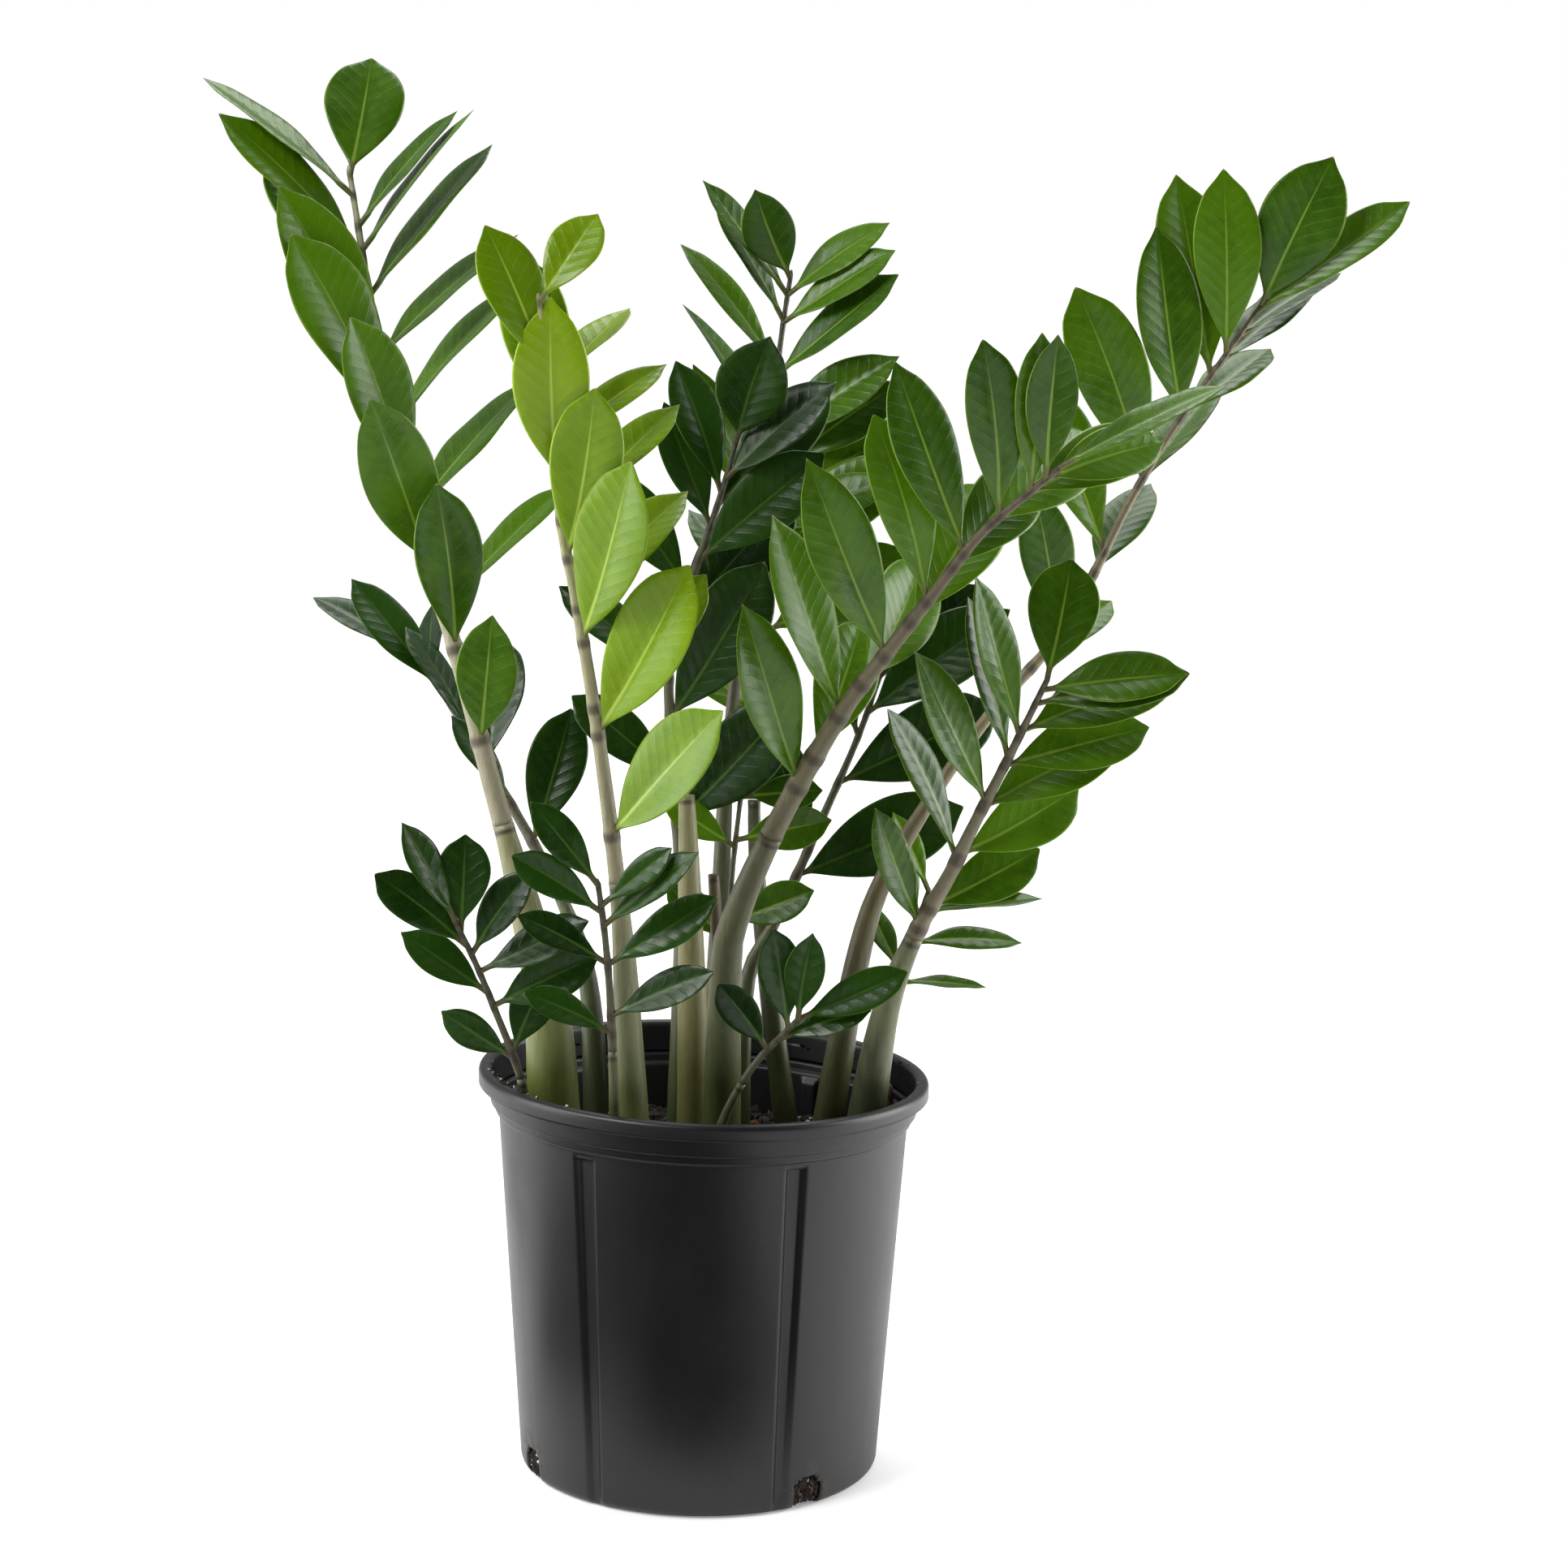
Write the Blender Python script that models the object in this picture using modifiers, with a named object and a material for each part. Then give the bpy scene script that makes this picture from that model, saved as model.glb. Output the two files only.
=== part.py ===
"""A ZZ plant (Zamioculcas zamiifolia) growing in a round nursery pot.

Each frond grows from the soil as a thick stalk. At the joint ring the stalk ends and
the blade begins: a thin rib with a row of leaflets down each side, grown as one piece.
Metres, +Z up. The origin is the middle of the pot's underside. The front is -Y.
"""

import math

import bmesh
import bpy
from mathutils import Vector
from mathutils.bvhtree import BVHTree

MM = 0.001
CM = 0.01

# The pot: a thin blow-moulded bucket
RIM_D = 254 * MM
POT_HEIGHT = 228 * MM
WALL_INSET = 11.5 * MM
BASE_D = 203 * MM
WALL = 2.2 * MM
FLOOR = 3.0 * MM
LIP_HEIGHT = 9 * MM
LIP_REACH = 5 * MM
BAND_INSET = 6 * MM
BAND_HEIGHT = 18.5 * MM
BAND_DROP = 3 * MM
STEP_HEIGHT = 25 * MM
BASE_ROUND = 7 * MM
RIM_TILT = 0.028
FLUTES = 6
FLUTE_FIRST = math.radians(-94)
FLUTE_TOP_GAP = 27 * MM
FLUTE_WIDTH = 15 * MM
FLUTE_FOOT_WIDTH = 11 * MM
FLUTE_SIDE = 3.7 * MM
FLUTE_DEPTH = 3.4 * MM
FLUTE_FOOT_DEPTH = 2.2 * MM
FLUTE_END = 1.5 * MM
DRAIN_SEAM = math.radians(-14.7)
DRAIN_SPREAD = math.radians(50.8)
DRAIN_WIDTH = 20 * MM
DRAIN_HEIGHT = 17 * MM
DRAIN_REACH = 14 * MM
DRAIN_ROUND = 8.6 * MM
BETWEEN_FLUTES = 5
ROW_PITCH = 40 * MM

# The soil that fills it
GAP = 0.3 * MM
SOIL_BELOW_RIM = 45 * MM
SOIL_LEVEL = POT_HEIGHT - SOIL_BELOW_RIM
SOIL_CROWN = 5 * MM
STALK_DEPTH = 22 * MM
STALK_SIDES = 8

# The fronds
JOINT_GAP = 0.3 * MM
RIB_TIP_D = 2.6 * MM
GIRTH_SCALE = 1.0
LEAF_SCALE = 1.0
LEAF_CREASE = 0.16
LEAF_THICK = 1.8 * MM
LEAF_ARCH = 0.07
LEAF_NECK = 7 * MM
NECK_HALF = 1.3 * MM
COLLAR_HALF = 4.0 * MM
LEAF_CLEAR = 1.2 * MM
CROWDING = 1.55
RIB_PITCH = 11 * MM

# The neck of the tuber that stands out of the soil
TUBER_D = 17 * MM
TUBER_HEIGHT = 50 * MM
TUBER_SUNK = 14 * MM
TUBER_BASE = (0.90, 0.13)

for leftover in list(bpy.data.objects):
    bpy.data.objects.remove(leftover, do_unlink=True)


def collection(name):
    """A new collection in the scene."""
    made = bpy.data.collections.new(name)
    bpy.context.scene.collection.children.link(made)
    return made


PLANT = collection("potted_zz_plant")
CUTTERS = collection("cutters")


def paint(name, colour, roughness):
    """A Principled material of one plain colour."""
    made = bpy.data.materials.new(name)
    made.use_nodes = True
    shader = made.node_tree.nodes["Principled BSDF"]
    shader.inputs["Base Color"].default_value = (*colour, 1.0)
    shader.inputs["Roughness"].default_value = roughness
    return made


POT_PLASTIC = ((0.035, 0.036, 0.040), 0.45)
SOIL_BROWN = ((0.020, 0.014, 0.010), 0.95)
LEAF_GREEN = ((0.045, 0.160, 0.020), 0.30)
YOUNG_GREEN = ((0.190, 0.330, 0.020), 0.32)
DARK_GREEN = ((0.018, 0.075, 0.020), 0.25)
STALK_GREEN = ((0.220, 0.250, 0.070), 0.45)
STUB_BROWN = ((0.130, 0.100, 0.050), 0.60)
TUBER_BROWN = ((0.180, 0.090, 0.050), 0.85)


def smoothed(mesh, degrees=40):
    """Shades a round piece smooth, with its real edges kept sharp."""
    mesh.shade_smooth()
    mesh.set_sharp_from_angle(angle=math.radians(degrees))


def add(name, mesh, look, group=PLANT):
    """An object with its own material, linked to a collection."""
    made = bpy.data.objects.new(name, mesh)
    made.data.materials.append(paint(name, *look))
    group.objects.link(made)
    return made


def evaluated(source, name):
    """A plain mesh of an object as its modifiers or its bevel leave it, with its caps welded."""
    bpy.context.view_layer.update()
    graph = bpy.context.evaluated_depsgraph_get()
    mesh = bpy.data.meshes.new_from_object(source.evaluated_get(graph))
    mesh.name = name
    work = bmesh.new()
    work.from_mesh(mesh)
    bmesh.ops.remove_doubles(work, verts=work.verts, dist=0.00002)
    work.to_mesh(mesh)
    work.free()
    return mesh


def turned(name, outline, look, group, steps):
    """A body turned from an outline of (radius, height) points, outer side first, top to bottom."""
    mesh = bpy.data.meshes.new(name)
    points = [(radius, 0, height) for radius, height in outline]
    edges = [(i, i + 1) for i in range(len(points) - 1)]
    if outline[0][0] > 0:
        edges.append((len(points) - 1, 0))
    mesh.from_pydata(points, edges, [])
    body = add(name, mesh, look, group)
    screw = body.modifiers.new("turn", "SCREW")
    screw.steps = steps
    screw.render_steps = steps
    screw.use_merge_vertices = True
    screw.merge_threshold = 0.00005
    return body


def cut(body, cutter):
    """Cuts body by a cutter, which is kept out of the build."""
    cutter.hide_render = True
    cutter.display_type = "WIRE"
    boolean = body.modifiers.new(cutter.name, "BOOLEAN")
    boolean.operation = "DIFFERENCE"
    boolean.object = cutter


# ---- pot ----
def wall_radius(height):
    """The outer radius of the pot's plain wall at a height."""
    top = POT_HEIGHT - STEP_HEIGHT
    share = (height - BASE_ROUND) / (top - BASE_ROUND)
    widest = RIM_D / 2 - WALL_INSET
    return BASE_D / 2 + (widest - BASE_D / 2) * share


def inner_radius(height):
    """The pot's inside radius at a height on its plain wall."""
    return wall_radius(height) - WALL


def wall_rows(low, high):
    """The heights between two others where the wall and what fills it have a row of points.

    They are the same for both, so that both bend alike where the rim is tilted.
    """
    return [ROW_PITCH * k for k in range(1, 12) if low + 1 * MM < ROW_PITCH * k < high - 1 * MM]


def arc(centre, radius, start, end, count):
    """Points (radius, height) round an arc, with its angles in degrees from +X."""
    turns = [math.radians(start + (end - start) * i / (count - 1)) for i in range(count)]
    return [(centre[0] + radius * math.cos(a), centre[1] + radius * math.sin(a)) for a in turns]


def tilt_rim(mesh):
    """Drops the rim at +X and lifts it at -X, more the higher the point: the thin pot has sagged."""
    foot = POT_HEIGHT / 3
    for vertex in mesh.vertices:
        share = max(0.0, (vertex.co.z - foot) / (POT_HEIGHT - foot))
        vertex.co.z -= RIM_TILT * vertex.co.x * share * share


def around(angle, radius, height=0.0):
    """The point at an angle from the front, towards +X, at a radius and a height."""
    return Vector((radius * math.sin(angle), -radius * math.cos(angle), height))


def flute_share(height):
    """0 at a flute's top and 1 at the pot's foot."""
    top = POT_HEIGHT - FLUTE_TOP_GAP
    return min(1.0, max(0.0, (top - height) / top))


def flute_press(height):
    """How far a flute is pressed in at a height: nothing above its top and at the underside."""
    top = POT_HEIGHT - FLUTE_TOP_GAP
    deep = FLUTE_DEPTH + (FLUTE_FOOT_DEPTH - FLUTE_DEPTH) * flute_share(height)
    return deep * min(1.0, max(0.0, (top - height) / FLUTE_END), height / BASE_ROUND)


def columns(height):
    """The angles round the wall at a height, each with its share of the flute's press."""
    half = (FLUTE_WIDTH + (FLUTE_FOOT_WIDTH - FLUTE_WIDTH) * flute_share(height)) / 2
    radius = wall_radius(height)
    pitch = 2 * math.pi / FLUTES
    start = FLUTE_WIDTH / 2 / wall_radius(POT_HEIGHT)
    made = []
    for i in range(FLUTES):
        middle = FLUTE_FIRST + i * pitch
        for place, share in ((-half, 0), (FLUTE_SIDE - half, 1), (half - FLUTE_SIDE, 1), (half, 0)):
            made.append((middle + place / radius, share))
        free = pitch - 2 * start
        for k in range(BETWEEN_FLUTES):
            made.append((middle + start + free * (k + 1) / (BETWEEN_FLUTES + 1), 0))
    return made


def pressed(name, outline, look):
    """A body turned from an outline of (radius, height) points, with the flutes pressed into it.

    A point out at the wall moves in by the flutes' press, and a point on the axis is one vertex.
    A quad is split from its lower left to its upper right, so that two nested bodies bend alike.
    """
    points = []
    rows = []
    for radius, height in outline:
        on_wall = radius > inner_radius(height) - WALL
        if radius == 0.0:
            rows.append([len(points)])
            points.append(around(0.0, 0.0, height))
            continue
        rows.append(range(len(points), len(points) + len(columns(height))))
        for angle, share in columns(height):
            points.append(around(angle, radius - share * on_wall * flute_press(height), height))
    faces = []
    heights = [height for _, height in outline]
    steps = zip(rows, rows[1:] + rows[:1], heights, heights[1:] + heights[:1])
    for upper, lower, high, low in steps:
        count = max(len(upper), len(lower))
        for j in range(count if count > 1 else 0):
            k = (j + 1) % count
            if len(upper) == 1:
                faces.append((upper[0], lower[j], lower[k]))
            elif len(lower) == 1:
                faces.append((upper[k], upper[j], lower[0]))
            elif high >= low:
                faces += [(upper[k], upper[j], lower[j]), (upper[k], lower[j], lower[k])]
            else:
                faces += [(upper[k], upper[j], lower[k]), (upper[j], lower[j], lower[k])]
    mesh = bpy.data.meshes.new(name)
    mesh.from_pydata(points, [], faces)
    return add(name, mesh, look, CUTTERS)


def pot_outline():
    """The pot's section: rolled lip, band, step and wall outside, floor, then up the inside."""
    top = POT_HEIGHT
    rim = RIM_D / 2
    band = rim - BAND_INSET
    roll = LIP_REACH / 2
    outside = arc((rim - roll, top - roll), roll, 90, 0, 4)
    outside.append((rim, top - LIP_HEIGHT))
    outside.append((band, top - LIP_HEIGHT - LIP_REACH / 2))
    outside.append((band - 1.0 * MM, top - BAND_HEIGHT))
    outside.append((band - BAND_DROP, top - BAND_HEIGHT - 1.0 * MM))
    outside.append((band - BAND_DROP - 0.5 * MM, top - STEP_HEIGHT + 1.5 * MM))
    outside.append((wall_radius(top - STEP_HEIGHT), top - STEP_HEIGHT))
    flute_top = top - FLUTE_TOP_GAP
    outside += [(wall_radius(z), z) for z in (flute_top, flute_top - FLUTE_END)]
    outside += [(wall_radius(z), z) for z in reversed(wall_rows(BASE_ROUND, flute_top))]
    outside.append((wall_radius(BASE_ROUND), BASE_ROUND))
    foot = arc((BASE_D / 2 - BASE_ROUND, BASE_ROUND), BASE_ROUND, 0, -90, 4)
    middle = [(0.0, 0.0), (0.0, FLOOR)]
    inside = [
        (BASE_D / 2 - BASE_ROUND, FLOOR),
        (inner_radius(BASE_ROUND + FLOOR), BASE_ROUND + FLOOR),
        *((inner_radius(z), z) for z in wall_rows(BASE_ROUND + FLOOR, flute_top)),
        (inner_radius(flute_top - FLUTE_END), flute_top - FLUTE_END),
        (inner_radius(top - STEP_HEIGHT), top - STEP_HEIGHT - WALL),
        (band - BAND_DROP - 0.5 * MM - WALL, top - STEP_HEIGHT + 1.5 * MM),
        (band - 2.0 * MM - WALL, top - BAND_HEIGHT + 1.0 * MM),
        (band - WALL, top - LIP_HEIGHT),
        (rim - LIP_REACH, top - roll),
    ]
    return outside + foot[1:] + middle + inside


def drain_cutter(name, size, place, turn):
    """An upright box that cuts a drain hole, turned about +Z, with its two upper edges rounded off."""
    work = bmesh.new()
    bmesh.ops.create_cube(work, size=1.0)
    bmesh.ops.scale(work, vec=size, verts=work.verts)
    through = [e for e in work.edges if abs(e.verts[0].co.y - e.verts[1].co.y) > size[1] / 2]
    top = [e for e in through if e.verts[0].co.z > 0]
    bmesh.ops.bevel(work, geom=top, offset=DRAIN_ROUND, segments=3, affect="EDGES", profile=0.5)
    mesh = bpy.data.meshes.new(name)
    work.to_mesh(mesh)
    work.free()
    cutter = bpy.data.objects.new(name, mesh)
    CUTTERS.objects.link(cutter)
    cutter.location = place
    cutter.rotation_euler = (0.0, 0.0, turn)
    return cutter


def pot():
    """The pot, with flutes pressed into its wall and a drain hole cut each side of its two seams."""
    body = pressed("pot_blank", pot_outline(), POT_PLASTIC)
    size = (DRAIN_WIDTH, 2 * DRAIN_REACH, 2 * DRAIN_HEIGHT)
    for seam in (DRAIN_SEAM, DRAIN_SEAM + math.pi):
        for angle in (seam - DRAIN_SPREAD, seam + DRAIN_SPREAD):
            cut(body, drain_cutter("drain", size, around(angle, BASE_D / 2), angle))
    mesh = evaluated(body, "pot")
    bpy.data.objects.remove(body)
    tilt_rim(mesh)
    smoothed(mesh, 30)
    add("pot", mesh, POT_PLASTIC)


# ---- soil ----
SOIL_RADIUS = inner_radius(SOIL_LEVEL - SOIL_CROWN) - GAP


def soil(sockets):
    """The soil: it fills the pot to its crowned top, and each stalk stands in a socket in it."""
    low = BASE_ROUND + FLOOR
    outline = [
        (0.0, SOIL_LEVEL),
        (SOIL_RADIUS * 0.8, SOIL_LEVEL),
        (SOIL_RADIUS, SOIL_LEVEL - SOIL_CROWN),
        *((inner_radius(z) - GAP, z) for z in reversed(wall_rows(low, SOIL_LEVEL - SOIL_CROWN))),
        (inner_radius(low) - GAP, low),
        (BASE_D / 2 - BASE_ROUND - GAP, FLOOR + GAP),
        (0.0, FLOOR + GAP),
    ]
    blank = pressed("soil_blank", outline, SOIL_BROWN)
    mesh = evaluated(blank, "soil")
    bpy.data.objects.remove(blank)
    tilt_rim(mesh)
    smoothed(mesh)
    body = add("soil", mesh, SOIL_BROWN)
    for socket in sockets:
        cut(body, socket)


# ---- stalks and ribs ----
def smooth_route(points, pitch):
    """Points a pitch apart along the smooth curve through a few chosen ones (Catmull-Rom)."""
    ends = [points[0] * 2 - points[1]] + points + [points[-1] * 2 - points[-2]]
    fine = []
    for a, b, c, d in zip(ends, ends[1:], ends[2:], ends[3:]):
        for step in range(24):
            t = step / 24
            bend = (a * -1 + b * 3 - c * 3 + d) * t**3 + (a * 2 - b * 5 + c * 4 - d) * t**2
            fine.append((bend + (c - a) * t + b * 2) / 2)
    fine.append(points[-1])
    along = [0.0]
    for a, b in zip(fine, fine[1:]):
        along.append(along[-1] + (b - a).length)
    count = max(2, round(along[-1] / pitch))
    route = []
    k = 0
    for i in range(count + 1):
        want = along[-1] * i / count
        while k < len(along) - 2 and along[k + 1] < want:
            k += 1
        share = (want - along[k]) / (along[k + 1] - along[k])
        route.append(fine[k].lerp(fine[k + 1], min(1.0, share)))
    return route


def tube(name, route, widths, sides):
    """A closed tube along a route, with its own width at each point, as a welded mesh."""
    curve = bpy.data.curves.new(name, "CURVE")
    curve.dimensions = "3D"
    curve.bevel_depth = 1.0
    curve.bevel_resolution = sides // 2 - 2
    curve.use_fill_caps = True
    line = curve.splines.new("POLY")
    line.points.add(len(route) - 1)
    for point, place, width in zip(line.points, route, widths):
        point.co = (*place, 1.0)
        point.radius = width / 2
    thread = bpy.data.objects.new(name, curve)
    CUTTERS.objects.link(thread)
    mesh = evaluated(thread, name)
    bpy.data.objects.remove(thread)
    return mesh


class Frond:
    """One frond: where it stands in the soil, the way it grows, its girth and its leaflet rows.

    base is its place on the soil in soil radii, and steps are offsets from there in
    centimetres (right, back, up). girth is the stalk's width at the soil and at the joint
    ring in millimetres, and ring is the share of the frond's length where the stalk ends.
    rise lifts the foot off the soil, onto whatever the stalk stands on there.
    """

    def __init__(self, name, base, steps, girth, ring, rows, look=LEAF_GREEN, rise=0.0):
        self.name = name
        self.rows = rows
        self.look = look
        self.rise = rise
        foot = Vector((base[0] * SOIL_RADIUS, base[1] * SOIL_RADIUS, SOIL_LEVEL + rise))
        points = [foot] + [foot + Vector(step) * CM for step in steps]
        if not rise:
            points.insert(0, foot - Vector(steps[0]).normalized() * STALK_DEPTH)
        self.route = smooth_route(points, RIB_PITCH)
        self.ring = round(ring * (len(self.route) - 1))
        self.girth = [width * MM * GIRTH_SCALE for width in girth]

    def width(self, i):
        """The stalk swells at the soil and narrows to the ring, and the rib narrows to its tip."""
        if i <= self.ring:
            share = i / self.ring
            return self.girth[1] + (self.girth[0] - self.girth[1]) * (1 - share**1.4)
        share = (i - self.ring) / max(1, len(self.route) - 1 - self.ring)
        return self.girth[1] + (RIB_TIP_D - self.girth[1]) * share

    def stalk_mesh(self, grow=0.0, extend=0.0):
        """The stalk from its sunk foot to the ring, or a socket cutter for it, grown all round."""
        picks = sorted({0, 1, *range(2, self.ring, 2), self.ring})
        route = [self.route[i].copy() for i in picks]
        widths = [self.width(i) + 2 * grow for i in picks]
        down = (route[0] - route[1]).normalized()
        route[0] += down * extend
        return tube("stalk", route, widths, STALK_SIDES)

    def at(self, share):
        """The place and the direction of the frond at a share of its length."""
        spot = share * (len(self.route) - 1)
        i = min(int(spot), len(self.route) - 2)
        place = self.route[i].lerp(self.route[i + 1], spot - i)
        low = self.route[max(0, i - 1)]
        high = self.route[min(len(self.route) - 1, i + 2)]
        return place, (high - low).normalized()


def between(three, share):
    """A value that runs smoothly through its first, middle and last values."""
    first, middle, last = three
    return (
        first * (1 - share) * (1 - 2 * share)
        + middle * 4 * share * (1 - share)
        + last * share * (2 * share - 1)
    )


def uneven(i, kind):
    """A fixed small unevenness from -1 to 1, different for each leaflet and each kind of value."""
    return math.sin(2.4 * i + 1.7 * kind + 0.6)


def leaflets(frond):
    """Each leaflet of a frond: its root, direction, face, length and width.

    A row is (count, start, end, swing, lean, length, width, face). Leaflets crowd towards
    the row's end. swing turns a leaflet to the right of the rib as seen from the front,
    lean brings it forward, face turns its upper side from the front about its own length.
    swing, lean, length and face are each given at the row's first, middle and last leaflet.
    """
    for count, start, end, swing, lean, length, width, face in frond.rows:
        for i in range(count):
            share = i / (count - 1) if count > 1 else 0.0
            spot = start + (end - start) * (1 - (1 - share) ** CROWDING)
            root, rib = frond.at(spot)
            side = math.atan2(rib.x, rib.z) + math.radians(between(swing, share) + 4 * uneven(i, 0))
            fore = math.radians(between(lean, share) + 5 * uneven(i, 1))
            long = between(length, share) * CM * LEAF_SCALE * (1 + 0.05 * uneven(i, 2))
            turn = math.radians(between(face, share) + 8 * uneven(i, 3))
            yield root, side, fore, turn, long, long * width


def leaf_axes(side, fore, turn):
    """The leaflet's direction and its upper side's direction, from its three angles."""
    along = Vector((math.sin(side) * math.cos(fore), -math.sin(fore), math.cos(side) * math.cos(fore)))
    front = Vector((0, -1, 0))
    flat = (front - along * front.dot(along)).normalized()
    upper = flat * math.cos(turn) + along.cross(flat) * math.sin(turn)
    return along, upper


def leaf_half_width(t):
    """The leaflet's half width at a share of its length: narrow at the neck, 1 where widest, a point."""
    return (t / 0.52) ** 0.9 * ((1 - t) / 0.48) ** 0.83


def leaf_sections(root, along, upper, long, wide, grow=0.0):
    """Four-cornered sections down a leaflet: left edge, top of the midrib, right edge, underside."""
    across = along.cross(upper)
    sections = []
    for t in (0.0, 0.28, 0.6, 0.86):
        middle = root + along * (LEAF_NECK + (long - LEAF_NECK) * t)
        middle -= upper * (LEAF_ARCH * long * t * t)
        half = NECK_HALF if t == 0.0 else wide / 2 * leaf_half_width(t)
        lift = upper * (half * LEAF_CREASE)
        thick = LEAF_THICK / 2 + grow
        sections.append(
            [
                middle - across * (half + grow) + lift,
                middle + upper * thick,
                middle + across * (half + grow) + lift,
                middle - upper * thick,
            ]
        )
    tip = root + along * (long + grow) - upper * (LEAF_ARCH * long)
    return sections, tip


def skin_of(sections, tip):
    """A leaflet's skin, or any skin of four-cornered sections and a point, as a search tree."""
    points = [point for section in sections for point in section] + [tip]
    faces = [(0, 1, 2, 3)]
    for k in range(len(sections) - 1):
        for j in range(4):
            a = 4 * k + j
            b = 4 * k + (j + 1) % 4
            faces.append((a, b, b + 4, a + 4))
    last = 4 * (len(sections) - 1)
    faces += [(last + j, last + (j + 1) % 4, len(points) - 1) for j in range(4)]
    return BVHTree.FromPolygons(points, faces)


def collar(root, along, upper, neck):
    """The swelling where a leaflet leaves the rib, as sections from behind the rib to the neck."""
    across = along.cross(upper)
    corners = ((-1, -1), (-1, 1), (1, 1), (1, -1))
    ring = [root + (across * a + upper * b) * COLLAR_HALF for a, b in corners]
    return skin_of([ring, neck], root + along * LEAF_NECK * 1.2)


# A leaflet that would run into a neighbour grows round it: it tries these turns in degrees,
# nearest first, as (lean, swing), and then the same at a shorter length.
DODGES = [(0, 0), (9, 0), (-9, 0), (0, 9), (0, -9), (18, 0), (-18, 0), (9, 14), (-9, -14), (27, 0)]
DODGES += [(-27, 0), (0, 22), (0, -22), (36, 0), (-36, 0), (18, 22), (-18, -22), (45, 0), (-45, 0)]
SHORTENED = (1.0, 0.86, 0.72, 0.55)


def place_leaf(root, side, fore, turn, long, wide, others, own):
    """The first pose of a leaflet that touches no neighbour, or None where it has no room.

    others are the skins of the other fronds, and own are those of this frond's leaflets.
    """
    for share in SHORTENED:
        for lean, swing in DODGES:
            along, upper = leaf_axes(side + math.radians(swing), fore + math.radians(lean), turn)
            sections, tip = leaf_sections(root, along, upper, long * share, wide * share, LEAF_CLEAR / 2)
            skin = skin_of(sections, tip)
            base = collar(root, along, upper, sections[0])
            touches = any(skin.overlap(tree) for tree in own + others)
            if not touches and not any(base.overlap(tree) for tree in others):
                return along, upper, long * share, wide * share, (skin, base)
    return None


def grow_leaf(work, used, root, along, upper, long, wide):
    """Extrudes one leaflet out of the rib's nearest free face, section by section to its tip."""
    free = [face for face in used["rib"] if face.is_valid and face not in used["taken"]]
    aim = root + along * RIB_PITCH / 2
    face = min(free, key=lambda f: (f.calc_center_median() - aim).length)
    used["taken"].add(face)
    sections, tip = leaf_sections(root, along, upper, long, wide)
    normal = (sections[0][1] - sections[0][0]).cross(sections[0][2] - sections[0][1])
    flipped = normal.dot(along) < 0
    first = True
    for section in sections:
        ring = section[::-1] if flipped else section
        made = bmesh.ops.extrude_discrete_faces(work, faces=[face])["faces"][0]
        corners = list(made.verts)
        if first:
            centre = sum(ring, Vector()) / 4
            middle = made.calc_center_median()
            shifts = [
                sum((corners[j].co - middle).dot((ring[(j + k) % 4] - centre).normalized()) for j in range(4))
                for k in range(4)
            ]
            shift = shifts.index(max(shifts))
            first = False
        for j, corner in enumerate(corners):
            corner.co = ring[(j + shift) % 4]
        face = made
    bmesh.ops.pointmerge(work, verts=list(face.verts), merge_co=tip)


def is_side(face, route):
    """Is this face one of the tube's sides, and not an end cap?"""
    centre = face.calc_center_median()
    from_ends = min((centre - route[0]).length, (centre - route[-1]).length)
    return len(face.verts) == 4 and from_ends > 1.5 * MM


def blade(frond, others):
    """The rib above the joint ring with its leaflets, all one piece. Returns the leaflets' skins."""
    count = len(frond.route)
    route = [point.copy() for point in frond.route[frond.ring :]]
    start = (route[1] - route[0]).normalized()
    route[0] += start * JOINT_GAP
    mesh = tube("blade", route, [frond.width(i) for i in range(frond.ring, count)], 4)
    work = bmesh.new()
    work.from_mesh(mesh)
    used = {"rib": [face for face in work.faces if is_side(face, route)], "taken": set()}
    own = []
    collars = []
    for root, side, fore, turn, long, wide in leaflets(frond):
        pose = place_leaf(root, side, fore, turn, long, wide, others, own)
        if pose is None:
            continue
        along, upper, long, wide, (skin, base) = pose
        grow_leaf(work, used, root, along, upper, long, wide)
        own.append(skin)
        collars.append(base)
    bmesh.ops.recalc_face_normals(work, faces=work.faces)
    work.to_mesh(mesh)
    work.free()
    smoothed(mesh, 35)
    add(f"blade_{frond.name}", mesh, frond.look)
    return own + collars


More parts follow.
